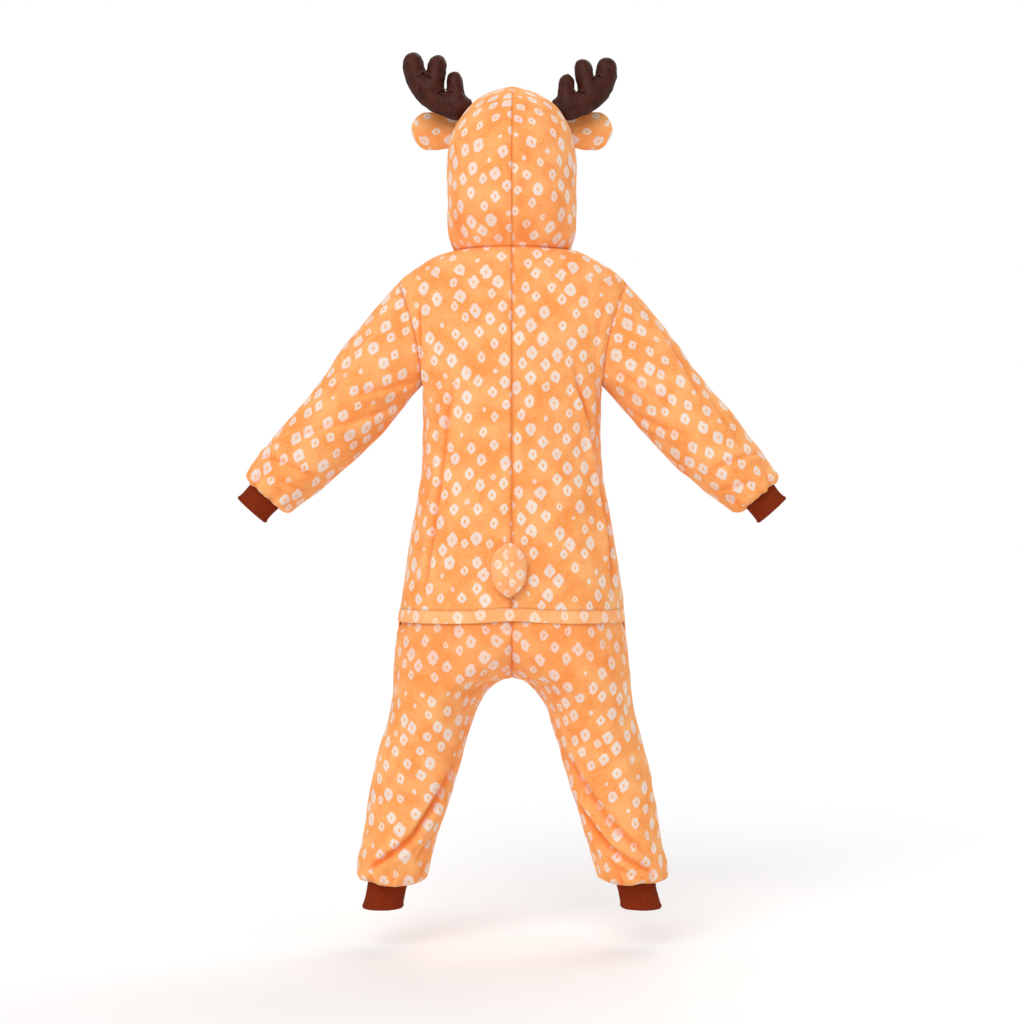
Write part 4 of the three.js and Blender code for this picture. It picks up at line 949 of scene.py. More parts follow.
def rib_tube(name, node, ring_at, rows, turn):
    angles = 2 * np.pi * np.arange(RIB_STEPS) / RIB_STEPS
    grid = np.array([ring_at(t, angles) for t in np.linspace(0, 1, rows)]) * turn
    flip = turn[0] < 0
    normals = grid_normals(grid, True, flip)
    t = np.linspace(0, 1, rows)[:, None]
    ridge = np.abs(np.cos(RIBS * angles / 2)) ** RIDGE["roundness"]
    ribs = RIDGE["height"] * ridge[None, :] - RIDGE["valley"]
    edge = 0.9 * np.exp(-((t - 0.94) / 0.05) ** 2) - 1.0 * np.exp(-((t - 1.0) / 0.03) ** 2)
    slack = 0.5 * wave_noise(grid, 26, 31) * smooth(t / 0.2)
    outer = grid + normals * (ribs + edge + slack)[..., None]
    piece = cloth(name, outer, normals, tube_uv(grid), RIB_THICK, True)
    # Painted shade mark: how far each point lies in a valley between ribs
    mark_points(piece, "valley", 1 - ridge * np.ones_like(t))
    declare(piece, node, grid, True)
    return piece


def wrist_ring(t, angles):
    waist = WRIST["waist"] * math.sin(math.pi * t)
    along = mix(WRIST["start"], WRIST["end"], t)
    up = -(WRIST["half"] - waist) * np.cos(angles)
    points = SLEEVE_ORIGIN + along * SLEEVE_ALONG + np.outer(up, SLEEVE_UP)
    points[:, 1] += (WRIST["depth"] - waist) * np.sin(angles)
    return points


def ankle_ring_points(t, angles):
    z = ANKLE["z"] - ANKLE["height"] * t
    ring = ankle_ring(z)
    depth = np.where(np.sin(angles) > 0, ring["back"], ring["front"])
    x = ring["x"] - ring["half"] * np.cos(angles)
    return np.stack([x, depth * np.sin(angles), np.full_like(angles, z)], 1)


rib_pieces = []
for side, sign in (("left", 1), ("right", -1)):
    turn = np.array([sign, 1, 1])
    rib_pieces.append(rib_tube(f"rib_wrist_{side}", f"wrist_cuff_{side}", wrist_ring, 16, turn))
    rib_pieces.append(rib_tube(f"rib_ankle_{side}", f"ankle_cuff_{side}", ankle_ring_points, 18, turn))
print("rib cuffs:", len(rib_pieces), "with", RIBS, "ribs each")

# %% [markdown]
# Antlers and tail are sewn from two flat covers and stuffed. Their cut solids are copied, moved in
# or out a little to start from, and blown up as cloth with air pressure inside, which rounds them as
# wadding does. The pinched creases at the notches and the seam round the edge are pressed in
# afterwards, because remeshing would lose them.

# %% Stuffing tools
VOXEL, SWELL = 0.003, 0.003
CLOTH_STEPS = 20


def bake(piece):
    """Turns the piece's modifiers into plain mesh."""
    mesh = bpy.data.meshes.new_from_object(piece.evaluated_get(bpy.context.evaluated_depsgraph_get()))
    piece.modifiers.clear()
    piece.data = mesh
    return piece


def get_points(mesh):
    flat = np.zeros(len(mesh.vertices) * 3)
    mesh.vertices.foreach_get("co", flat)
    return flat.reshape(-1, 3)


def get_normals(mesh):
    flat = np.zeros(len(mesh.vertices) * 3)
    mesh.vertex_normals.foreach_get("vector", flat)
    return flat.reshape(-1, 3)


def set_points(mesh, points):
    mesh.vertices.foreach_set("co", points.ravel())
    mesh.update()


def relax(mesh, rounds, share=0.5):
    """Evens out the little steps that a voxel remesh leaves."""
    edges = np.zeros(len(mesh.edges) * 2, dtype=int)
    mesh.edges.foreach_get("vertices", edges)
    a, b = edges.reshape(-1, 2).T
    points = get_points(mesh)
    count = np.bincount(np.concatenate([a, b]), minlength=len(points))[:, None]
    for _ in range(rounds):
        total = np.zeros_like(points)
        np.add.at(total, a, points[b])
        np.add.at(total, b, points[a])
        points += share * (total / count - points)
    set_points(mesh, points)


def stuffed(name, node, take_in):
    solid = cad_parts[node]
    mesh = solid.data.copy()
    mesh.transform(solid.matrix_world)
    mesh.materials.clear()
    piece = bpy.data.objects.new(name, mesh)
    scene.collection.objects.link(piece)
    remesh = piece.modifiers.new("even grid", "REMESH")
    remesh.mode, remesh.voxel_size = "VOXEL", VOXEL
    bake(piece)
    relax(piece.data, 6)
    start = get_points(piece.data) - get_normals(piece.data) * take_in
    set_points(piece.data, start)
    cover = piece.modifiers.new("cover", "CLOTH")
    cover.settings.use_pressure = True
    cover.settings.uniform_pressure_force = 4
    cover.settings.effector_weights.gravity = 0
    cover.settings.quality = 6
    cover.settings.tension_stiffness = cover.settings.compression_stiffness = 12
    for step in range(1, CLOTH_STEPS + 1):
        scene.frame_set(step)
    bake(piece)
    scene.frame_set(1)
    move = get_points(piece.data) - start
    length = np.maximum(np.linalg.norm(move, axis=1, keepdims=True), 1e-9)
    set_points(piece.data, start + move * np.minimum(1, SWELL / length))
    relax(piece.data, 3)
    finer = piece.modifiers.new("finer", "SUBSURF")
    finer.levels = finer.render_levels = 2
    bake(piece)
    piece.data.polygons.foreach_set("use_smooth", np.ones(len(piece.data.polygons), dtype=bool))
    return piece


# %% Antlers
ANTLERS = [
    dict(side="left", sign=1, x=63, y=0, z=198, yaw=0, lean=4),
    dict(side="right", sign=-1, x=61, y=0, z=197, yaw=8, lean=13),
]
# Less than nothing: the antlers start let out, because their solids are slimmer than the stuffed form
ANTLER_TAKE_IN = -0.0026
# Creases from each notch: its place in the antler's own plane, then direction, length and depth
PINCHES = [
    (58.5, 46, -42, 15, 1.5), (58.5, 46, -78, 10, 1.3), (58.5, 46, -118, 9, 1.0), (58.5, 46, -152, 16, 1.5),
    (58.5, 46, -12, 9, 0.9), (28.5, 24, -38, 20, 1.7), (28.5, 24, -72, 13, 1.3), (28.5, 24, -100, 11, 1.1),
    (28.5, 24, -132, 13, 1.3), (28.5, 24, -158, 17, 1.5), (66, 20, 118, 12, 0.6), (20, 2, 60, 12, 0.6),
]
antler_pieces = []


def own_frame(vectors, antler):
    """Turns directions to the antler's own: outwards, through its thickness, and up."""
    yaw, lean = math.radians(antler["yaw"]), math.radians(-antler["lean"])
    x, y, z = (vectors * [antler["sign"], 1, 1]).T
    out, back = x * math.cos(yaw) - y * math.sin(yaw), x * math.sin(yaw) + y * math.cos(yaw)
    return out, back * math.cos(lean) - z * math.sin(lean), back * math.sin(lean) + z * math.cos(lean)


for antler in ANTLERS:
    node = f"antler_{antler['side']}"
    piece = stuffed(f"velour_{node}", node, ANTLER_TAKE_IN)
    points = get_points(piece.data) * 1000
    normals = get_normals(piece.data)
    out, thick, up = own_frame(points - [antler["x"] * antler["sign"], antler["y"], antler["z"]], antler)
    facing = np.abs(own_frame(normals, antler)[1])
    lift = 0.35 * wave_noise(points, 17, 41) + 0.15 * wave_noise(points, 7, 42)
    for x0, z0, degrees, length, deep in PINCHES:
        angle = math.radians(degrees)
        along = (out - x0) * math.cos(angle) + (up - z0) * math.sin(angle)
        away = -(out - x0) * math.sin(angle) + (up - z0) * math.cos(angle)
        away = away - 1.2 * np.sin(along / length * 2.4)
        fade = smooth((along + 2) / 3) * smooth((length - along) / (0.75 * length))
        crease, banks = np.exp(-(away / 1.1) ** 2), np.exp(-((np.abs(away) - 2.6) / 1.5) ** 2)
        lift -= 1.25 * deep * fade * (crease - 0.45 * banks)
    edge = np.exp(-(facing / 0.16) ** 2)
    groove = np.exp(-((facing - 0.42) / 0.1) ** 2)
    lift += 0.5 * edge - 0.7 * groove
    set_points(piece.data, (points + normals * lift[:, None]) / 1000)
    # Painted shade mark: how deep each point is pressed into a crease or the edge groove
    mark_points(piece, "pressed", np.clip(-lift / 1.2, 0, 1))
    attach(piece, "root")
    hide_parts(node)
    antler_pieces.append(piece)
    reach = get_points(piece.data) * 1000
    print(piece.name, "faces", len(piece.data.polygons), "from", reach.min(axis=0).round(), "to",
          reach.max(axis=0).round())

# %% Tail
TAIL_SHRINK = 1.28
TAIL_TAKE_IN = 0.001
TAIL_RISE = 3
TAIL_ROLL_START = (317, 1003)
tail = stuffed("fleece_tail", "tail", TAIL_TAKE_IN)
points = get_points(tail.data) * 1000
normals = get_normals(tail.data)
middle = np.exp(-((points[:, 0] - TAIL["x"] - 1) / 1.1) ** 2) * smooth((normals[:, 1] - 0.1) / 0.5)
rim = np.exp(-((normals[:, 1] - 0.16) / 0.13) ** 2)
lift = 0.5 * wave_noise(points, 30, 43) + 0.2 * wave_noise(points, 12, 44) - 1.0 * middle + 0.5 * rim
lift -= 0.6 * np.exp(-((normals[:, 1] - 0.52) / 0.1) ** 2)
down = (TAIL["top"] - points[:, 2]) / (TAIL["top"] - TAIL["low"])
fuller = 1 + 0.08 * smooth(down / 0.2) + 0.3 * smooth((down - 0.5) / 0.35)
points[:, 0] = TAIL["x"] + (points[:, 0] - TAIL["x"]) * fuller
points[:, 2] += TAIL_RISE
set_points(tail.data, (points + normals * lift[:, None]) / 1000)
# Painted highlight over the whole tail, strongest along its edge, and painted shade along its centre seam
mark_points(tail, "rim", np.clip(0.45 + 0.55 * rim, 0, 1))
mark_points(tail, "crease", 0.6 * middle)
corners = np.zeros(len(tail.data.loops), dtype=int)
tail.data.loops.foreach_get("vertex_index", corners)
halves = np.where(points[:, 0] > TAIL["x"], 1.0, -1.0)
around = np.stack([points[:, 0] + halves * 58, points[:, 2]], 1) + TAIL_ROLL_START
around = around * TAIL_SHRINK / 1000
tail_uv = tail.data.uv_layers.new(name="cut")
tail_uv.data.foreach_set("uv", around[corners].astype(np.float32).ravel())
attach(tail, "root")
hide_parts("tail")
fleece_pieces.append(tail)

# %% [markdown]
# Each ear is a dappled leaf behind and a pale leaf in front, cupped and pinched at the root. A ray
# cast at the hood finds where the root is sewn on, so the leaf starts exactly on the cloth.

# %% Ears
EAR_ROWS, EAR_STEPS = 45, 37
EAR_CLOTH = 1.6
EAR_ROLL_START = 61
EAR_LEAVES = [
    ("fleece_ear", "fawn_fleece", "ear_back", 0.0, 0.0),
    ("plush_ear_lining", "ear_lining", "ear_front", EAR_CLOTH + SEAM_GAP, 0.7),
]


def hood_side(hood_object):
    tree = BVHTree.FromObject(hood_object, bpy.context.evaluated_depsgraph_get())

    def side_at(sign, y, z):
        hit = tree.ray_cast(Vector((sign * 0.4, y / 1000, z / 1000)), Vector((-sign, 0, 0)))[0]
        return abs(hit.x) * 1000 if hit else 60.0

    return side_at


def ear_grid(sign, side_at, grow):
    tip = EAR_OUTLINE[-1]["along"]
    grid = []
    for share in np.linspace(0, 1, EAR_ROWS):
        along = tip * share * math.sin(QUARTER / 2) * 2
        if share > 0.5:
            along = tip * math.sin(share * QUARTER)
        row = []
        for t in np.linspace(0, 1, EAR_STEPS):
            top, lower = (read_table(EAR_OUTLINE, "along", column, along) for column in ("top", "lower"))
            up = mix(-lower - grow, top + grow, t)
            across = abs(2 * t - 1)
            fold = 1 - float(smooth(along / 60))
            y = EAR["y"] - EAR["cup"] * across ** 2 * (0.55 + fold) - 0.1 * along
            z = EAR["z"] + up + EAR["lean"] * math.sin(along / 80 * math.pi * 0.9)
            row.append((EAR["x"] + along + grow * share, y, z))
        grid.append(row)
    grid = np.array(grid)
    foot = np.array([side_at(sign, y, z) for _, y, z in grid[0]]) + 0.2
    reach = grid[-1, :, 0]
    share = (grid[..., 0] - EAR["x"]) / (reach - EAR["x"])
    grid[..., 0] = foot + (reach - foot) * share
    return grid


ear_fronts = []
for side, sign, half in (("left", 1, left), ("right", -1, right)):
    side_at = hood_side(half["hood"][0])
    for name, slot_name, node_name, offset, grow in EAR_LEAVES:
        grid = ear_grid(sign, side_at, grow)
        uv = np.stack([steps_along(grid, 1), steps_along(grid, 0)], axis=-1) + EAR_ROLL_START
        grid = grid * [sign, 1, 1]
        normals = grid_normals(grid, False, False)
        if normals[EAR_ROWS // 2, EAR_STEPS // 2, 1] < 0:
            normals = -normals
        root = np.linspace(0, 1, EAR_ROWS)[:, None]
        across = np.linspace(-1, 1, EAR_STEPS)[None, :]
        crease = np.exp(-((across - 0.12) / 0.13) ** 2) * smooth((0.55 - root) / 0.5)
        from_edge = np.minimum((1 - np.abs(across)) * 24, (1 - root) * 60)
        roll = np.exp(-(from_edge / 1.6) ** 2)
        lift = 0.5 * wave_noise(grid, 30, 51) - 1.5 * crease - 0.6 * roll
        outer = grid + normals * (lift - offset)[..., None]
        piece = cloth(f"{name}_{side}", outer, normals, uv, EAR_CLOTH)
        declare(piece, f"{node_name}_{side}", grid)
        (fleece_pieces if slot_name == "fawn_fleece" else ear_fronts).append(piece)

# %% [markdown]
# The front closes with a button band. It follows the soft front at one thickness out, so the same
# folds run through both. Buttons are turned discs with four real holes, sewn on with crossed thread.

# %% Button band
BAND_STEPS = 14
BAND_ROLL_START = (523, 19)
BAND_EDGE_SEAM = 2.6


def front_at(level, x):
    n = level["square"]
    y = -level["front"] * (1 - min(1, abs(x) / level["side"]) ** n) ** (1 / n)
    return (x, y, level["z"] + level["tilt_front"] * (1 - (x / level["side"]) ** 2))


chest_rows = [armhole_level(even_angle(share)) for share in np.linspace(0, 1, ARMHOLE_STEPS + 1)]
band_rows = [row for row in waist_rows + chest_rows + shoulder_rows
             if row["z"] + row["tilt_front"] > PLACKET_END_Z]
band_xs = np.linspace(-1, 1, BAND_STEPS + 1) * PLACKET_HALF
band_base = np.array([[front_at(row, x) for x in band_xs] for row in band_rows])
band_middle = BAND_STEPS // 2
band_normals = grid_normals(band_base, False, False)
if band_normals[len(band_rows) // 2, band_middle, 1] > 0:
    band_normals = -band_normals
edge = PLACKET_HALF - np.abs(band_base[..., 0])
band_lift = np.where(band_base[..., 0] > 0, body_lift(band_base, band_normals, 1),
                     body_lift(band_base, band_normals, -1))
band_lift = band_lift * smooth(np.abs(band_base[..., 0]) / SEAM_FADE) + drape(band_base)
band_lift += FLEECE + 0.7 - 0.35 * np.exp(-((edge - BAND_EDGE_SEAM) / 0.7) ** 2)
band_lift -= 0.4 * np.exp(-(edge / 0.8) ** 2)
band_outer = band_base + band_normals * band_lift[..., None]
band_uv = np.stack([steps_along(band_base, 1), steps_along(band_base, 0)], axis=-1) + BAND_ROLL_START
placket = cloth("fleece_button_band", band_outer, band_normals, band_uv, FLEECE)
declare(placket, "placket", band_base)
fleece_pieces.append(placket)

# %% Buttons
def lathe(name, profile, steps, centre, outward):
    """A turned form from (radius, height) pairs in mm."""
    turn = Vector(outward).to_track_quat("Z", "Y")
    verts, faces = [], []
    for radius, height in profile:
        for k in range(steps):
            angle = 2 * math.pi * k / steps
            spot = turn @ Vector((radius * math.cos(angle), radius * math.sin(angle), height))
            verts.append((Vector(centre) + spot) / 1000)
    for r in range(len(profile) - 1):
        for k in range(steps):
            after = (k + 1) % steps
            faces.append((r * steps + k, r * steps + after, (r + 1) * steps + after, (r + 1) * steps + k))
    faces.append(tuple(reversed(range(steps))))
    faces.append(tuple(range((len(profile) - 1) * steps, len(profile) * steps)))
    mesh = bpy.data.meshes.new(name)
    mesh.from_pydata(verts, [], faces)
    mesh.update()
    piece = bpy.data.objects.new(name, mesh)
    scene.collection.objects.link(piece)
    return piece


BUTTON_PROFILE = [(0.4, -1.6), (6.4, -1.6), (7.5, -1.1), (8.0, -0.1), (7.8, 0.8), (7.1, 1.3), (6.3, 1.25),
                  (5.5, 0.6), (4.6, 0.15), (3, 0.0), (1, 0.0)]
HOLE_REACH = 1.55
HOLE_RADIUS = 0.75
BUTTON_ABOVE = 2.4
BUTTON_SOFTNESS = 0.00018
HOLES = ((1, 1), (-1, 1), (-1, -1), (1, -1))
band_line = band_outer[:, band_middle]
buttons, threads = [], []
for k in range(BUTTON_COUNT):
    node_low, node_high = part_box(f"button_{k + 1}")
    middle = (np.array(node_low) + np.array(node_high)) * 500
    row = int(np.argmin(np.linalg.norm(band_line - middle, axis=1)))
    outward = band_normals[row, band_middle] * [0, 1, 1]
    outward /= np.linalg.norm(outward)
    centre = band_line[row] + outward * BUTTON_ABOVE
    button = lathe(f"button_{k + 1}_turned", BUTTON_PROFILE, 48, centre, outward)
    turn = Vector(outward).to_track_quat("Z", "Y")
    spots = [turn @ Vector((x * HOLE_REACH, y * HOLE_REACH, 0)) for x, y in HOLES]
    drills = []
    for spot in spots:
        drill = lathe("drill", [(HOLE_RADIUS, -3), (HOLE_RADIUS, 3)], 16,
                      np.array(centre) + np.array(spot), outward)
        cut = button.modifiers.new("hole", "BOOLEAN")
        cut.object, cut.operation, cut.solver = drill, "DIFFERENCE", "EXACT"
        drills.append(drill)
    bake(button)
    for drill in drills:
        bpy.data.objects.remove(drill)
    bevel = button.modifiers.new("soft edges", "BEVEL")
    bevel.width, bevel.segments, bevel.limit_method = BUTTON_SOFTNESS, 2, "ANGLE"
    bake(button)
    button.data.polygons.foreach_set("use_smooth", np.ones(len(button.data.polygons), dtype=bool))
    button.data.set_sharp_from_angle(angle=math.radians(40))
    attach(button, "root")
    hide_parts(f"button_{k + 1}")
    buttons.append(button)
    threads.append((centre, outward, spots))
print("buttons:", len(buttons))

# %% [markdown]
# Thread is the same on buttons and seams: short round stitches. Geometry Nodes lays one along a line
# again and again at an even pitch, so the pitch, length and thickness stay three named inputs.

# %% Stitches along a line
def add(tree, kind, **values):
    """Adds a node, sets its settings, and fills its inputs by name or number."""
    new = tree.nodes.new(kind)
    for key, value in values.items():
        if key == "inputs":
            for socket, content in value.items():
                target = new.inputs[socket]
                if isinstance(content, bpy.types.NodeSocket):
                    tree.links.new(content, target)
                else:
                    target.default_value = content
        else:
            setattr(new, key, value)
    return new


def stitch_tree(thread_look):
    tree = bpy.data.node_groups.new("stitches", "GeometryNodeTree")
    tree.interface.new_socket("Geometry", in_out="INPUT", socket_type="NodeSocketGeometry")
    for name, size in (("Pitch", 0.0032), ("Stitch length", 0.0023), ("Thread radius", 0.00028)):
        socket = tree.interface.new_socket(name, in_out="INPUT", socket_type="NodeSocketFloat")
        socket.default_value = size
    tree.interface.new_socket("Geometry", in_out="OUTPUT", socket_type="NodeSocketGeometry")
    given = add(tree, "NodeGroupInput").outputs
    spaced = add(tree, "GeometryNodeResampleCurve", mode="LENGTH",
                 inputs={"Curve": given["Geometry"], "Length": given["Pitch"]})
    tangent = add(tree, "GeometryNodeInputTangent")
    turned = add(tree, "FunctionNodeAlignRotationToVector", axis="Z",
                 inputs={"Vector": tangent.outputs["Tangent"]})
    half = add(tree, "ShaderNodeMath", operation="MULTIPLY", inputs={0: given["Stitch length"], 1: 0.5})
    size = add(tree, "ShaderNodeCombineXYZ", inputs={"X": given["Thread radius"], "Y": given["Thread radius"],
                                                     "Z": half.outputs[0]})
    bead = add(tree, "GeometryNodeMeshIcoSphere", inputs={"Radius": 1.0, "Subdivisions": 2})
    laid = add(tree, "GeometryNodeInstanceOnPoints", inputs={
        "Points": spaced.outputs["Curve"], "Instance": bead.outputs["Mesh"],
        "Rotation": turned.outputs["Rotation"], "Scale": size.outputs["Vector"]})
    real = add(tree, "GeometryNodeRealizeInstances", inputs={"Geometry": laid.outputs["Instances"]})
    coloured = add(tree, "GeometryNodeSetMaterial", inputs={"Geometry": real.outputs["Geometry"],
                                                            "Material": thread_look})
    add(tree, "NodeGroupOutput", inputs={"Geometry": coloured.outputs["Geometry"]})
    return tree


def sew(name, lines, tree, sizes=None):
    """Lays stitches along lines of points in mm, as one plain mesh."""
    curve = bpy.data.curves.new(name, "CURVE")
    curve.dimensions = "3D"
    for line in lines:
        spline = curve.splines.new("POLY")
        spline.points.add(len(line) - 1)
        spline.points.foreach_set("co", np.concatenate([line / 1000, np.ones((len(line), 1))], 1).ravel())
    draft = bpy.data.objects.new(name + "_line", curve)
    scene.collection.objects.link(draft)
    modifier = draft.modifiers.new("stitches", "NODES")
    modifier.node_group = tree
    for socket in tree.interface.items_tree:
        if socket.in_out == "INPUT" and sizes and socket.name in sizes:
            modifier[socket.identifier] = sizes[socket.name]
    mesh = bpy.data.meshes.new_from_object(draft.evaluated_get(bpy.context.evaluated_depsgraph_get()))
    bpy.data.objects.remove(draft)
    mesh.polygons.foreach_set("use_smooth", np.ones(len(mesh.polygons), dtype=bool))
    piece = bpy.data.objects.new(name, mesh)
    scene.collection.objects.link(piece)
    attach(piece, "root")
    print(name, "faces", len(mesh.polygons))
    return piece


STITCH_ABOVE = 0.05


def line_on(outer, normals, rows, columns):
    """The points of a grid at rows or columns that may lie between its own, a little proud."""

    def sample(values):
        i = np.clip(rows, 0, outer.shape[0] - 1)
        j = np.clip(columns, 0, outer.shape[1] - 1)
        i0, j0 = np.floor(i).astype(int), np.floor(j).astype(int)
        i1, j1 = np.minimum(i0 + 1, outer.shape[0] - 1), np.minimum(j0 + 1, outer.shape[1] - 1)
        u, v = (i - i0)[:, None], (j - j0)[:, None]
        return (values[i0, j0] * (1 - u) * (1 - v) + values[i1, j0] * u * (1 - v)
                + values[i0, j1] * (1 - u) * v + values[i1, j1] * u * v)

    return sample(outer) + sample(normals) * STITCH_ABOVE


# %% [markdown]
# Materials come next. Each one starts from what the real stuff is: dyed brushed fleece, rib knit,
# short velour, plush, moulded plastic and polyester thread. Colours are written as on a screen.

# %% Colour and node helpers
def screen(code):
    """A screen colour such as FBA861 as the linear colour that a shader needs."""
    parts = [int(code[k:k + 2], 16) / 255 for k in (0, 2, 4)]
    return [c / 12.92 if c <= 0.04045 else ((c + 0.055) / 1.055) ** 2.4 for c in parts] + [1]


def new_look(name, roughness, sheen=0.0, sheen_roughness=0.5, specular=0.3, through=0.0):
    look = bpy.data.materials.new(name)
    look.use_nodes = True
    shader = look.node_tree.nodes["Principled BSDF"]
    shader.inputs["Roughness"].default_value = roughness
    shader.inputs["Sheen Weight"].default_value = sheen
    shader.inputs["Sheen Roughness"].default_value = sheen_roughness
    shader.inputs["Specular IOR Level"].default_value = specular
    shader.inputs["Subsurface Weight"].default_value = through
    shader.inputs["Subsurface Radius"].default_value = (1.0, 0.45, 0.2)
    shader.inputs["Subsurface Scale"].default_value = 0.006
    return look, look.node_tree, shader


def maths(tree, operation, a, b=0.0):
    return add(tree, "ShaderNodeMath", operation=operation, inputs={0: a, 1: b}).outputs[0]


def blend(tree, share, first, second):
    mixer = add(tree, "ShaderNodeMix", data_type="RGBA", inputs={0: share})
    for socket, content in ((6, first), (7, second)):
        if isinstance(content, bpy.types.NodeSocket):
            tree.links.new(content, mixer.inputs[socket])
        else:
            mixer.inputs[socket].default_value = content
    return mixer.outputs[2]


def step_between(tree, value, low, high):
    return add(tree, "ShaderNodeMapRange", interpolation_type="SMOOTHSTEP",
               inputs={"Value": value, "From Min": low, "From Max": high}).outputs["Result"]


def bump(tree, shader, height, distance, strength=1.0):
    node = add(tree, "ShaderNodeBump", inputs={"Height": height, "Distance": distance, "Strength": strength})
    tree.links.new(node.outputs["Normal"], shader.inputs["Normal"])


# %% [markdown]
# The dapple is a tie-dye dot: each bound knot leaves a pale, lumpy diamond with a coloured heart.
# A Voronoi texture gives every dot its own place, and its random colour gives size and lumps. The
# cloth's own flat coordinates carry it, so each panel is cut from the same roll, grain upright.

# %% Dappled fleece
DOT_SPACING = 0.0243
DOT_RADIUS = 0.0072
DOT_SCATTER = 0.42
DOT_SQUARE = 1.45
HEART = (0.0012, 0.0019)


def dapple(tree, coordinates):
    wobble = add(tree, "ShaderNodeTexNoise", noise_dimensions="2D", inputs={
        "Vector": coordinates, "Scale": 170.0, "Detail": 1.0, "Roughness": 0.5})
    centred = add(tree, "ShaderNodeVectorMath", operation="SUBTRACT", inputs={
        0: wobble.outputs["Color"], 1: (0.5, 0.5, 0.5)})
    small = add(tree, "ShaderNodeVectorMath", operation="SCALE", inputs={
        0: centred.outputs["Vector"], "Scale": 0.0034})
    moved = add(tree, "ShaderNodeVectorMath", operation="ADD", inputs={
        0: coordinates, 1: small.outputs["Vector"]})

    def cells(vector):
        turned = add(tree, "ShaderNodeMapping", inputs={
            "Vector": vector, "Rotation": (0, 0, math.radians(45)), "Scale": (1 / DOT_SPACING,) * 3})
        return turned.outputs["Vector"]

    voronoi = add(tree, "ShaderNodeTexVoronoi", voronoi_dimensions="2D", feature="F1", inputs={
        "Vector": cells(moved.outputs["Vector"]), "Scale": 1.0, "Randomness": DOT_SCATTER})
    edges = add(tree, "ShaderNodeTexVoronoi", voronoi_dimensions="2D", feature="DISTANCE_TO_EDGE", inputs={
        "Vector": cells(moved.outputs["Vector"]), "Scale": 1.0, "Randomness": DOT_SCATTER})
    offset = add(tree, "ShaderNodeVectorMath", operation="SUBTRACT", inputs={
        0: cells(moved.outputs["Vector"]), 1: voronoi.outputs["Position"]})
    upright = add(tree, "ShaderNodeMapping", inputs={
        "Vector": offset.outputs["Vector"], "Rotation": (0, 0, math.radians(-45)),
        "Scale": (DOT_SPACING,) * 3})
    place = add(tree, "ShaderNodeSeparateXYZ", inputs={"Vector": upright.outputs["Vector"]})
    chance = add(tree, "ShaderNodeSeparateColor", inputs={"Color": voronoi.outputs["Color"]})
    x = maths(tree, "ABSOLUTE", place.outputs["X"])
    y = maths(tree, "ABSOLUTE", maths(tree, "MULTIPLY", place.outputs["Y"], 0.8))
    soft = maths(tree, "ADD", maths(tree, "POWER", x, DOT_SQUARE), maths(tree, "POWER", y, DOT_SQUARE))
    distance = maths(tree, "POWER", soft, 1 / DOT_SQUARE)
    size = add(tree, "ShaderNodeMapRange", inputs={
        "Value": chance.outputs["Red"], "To Min": 0.72, "To Max": 1.16}).outputs["Result"]
    tiny = step_between(tree, chance.outputs["Green"], 0.14, 0.12)
    size = maths(tree, "MULTIPLY", size, maths(tree, "SUBTRACT", 1.0, maths(tree, "MULTIPLY", tiny, 0.55)))
    radius = maths(tree, "MULTIPLY", size, DOT_RADIUS)
    inside = maths(tree, "SUBTRACT", radius, distance)
    pale = step_between(tree, inside, -0.0004, 0.0005)
    pale = maths(tree, "MULTIPLY", pale, step_between(tree, edges.outputs["Distance"], 0.05, 0.09))
    heart_x = maths(tree, "POWER", maths(tree, "DIVIDE", x, HEART[0]), 2.0)
    heart_y = maths(tree, "POWER", maths(tree, "DIVIDE", y, HEART[1]), 2.0)
    heart = step_between(tree, maths(tree, "ADD", heart_x, heart_y), 1.7, 0.35)
    heart = maths(tree, "MULTIPLY", heart, step_between(tree, size, 0.42, 0.55))
    return pale, heart


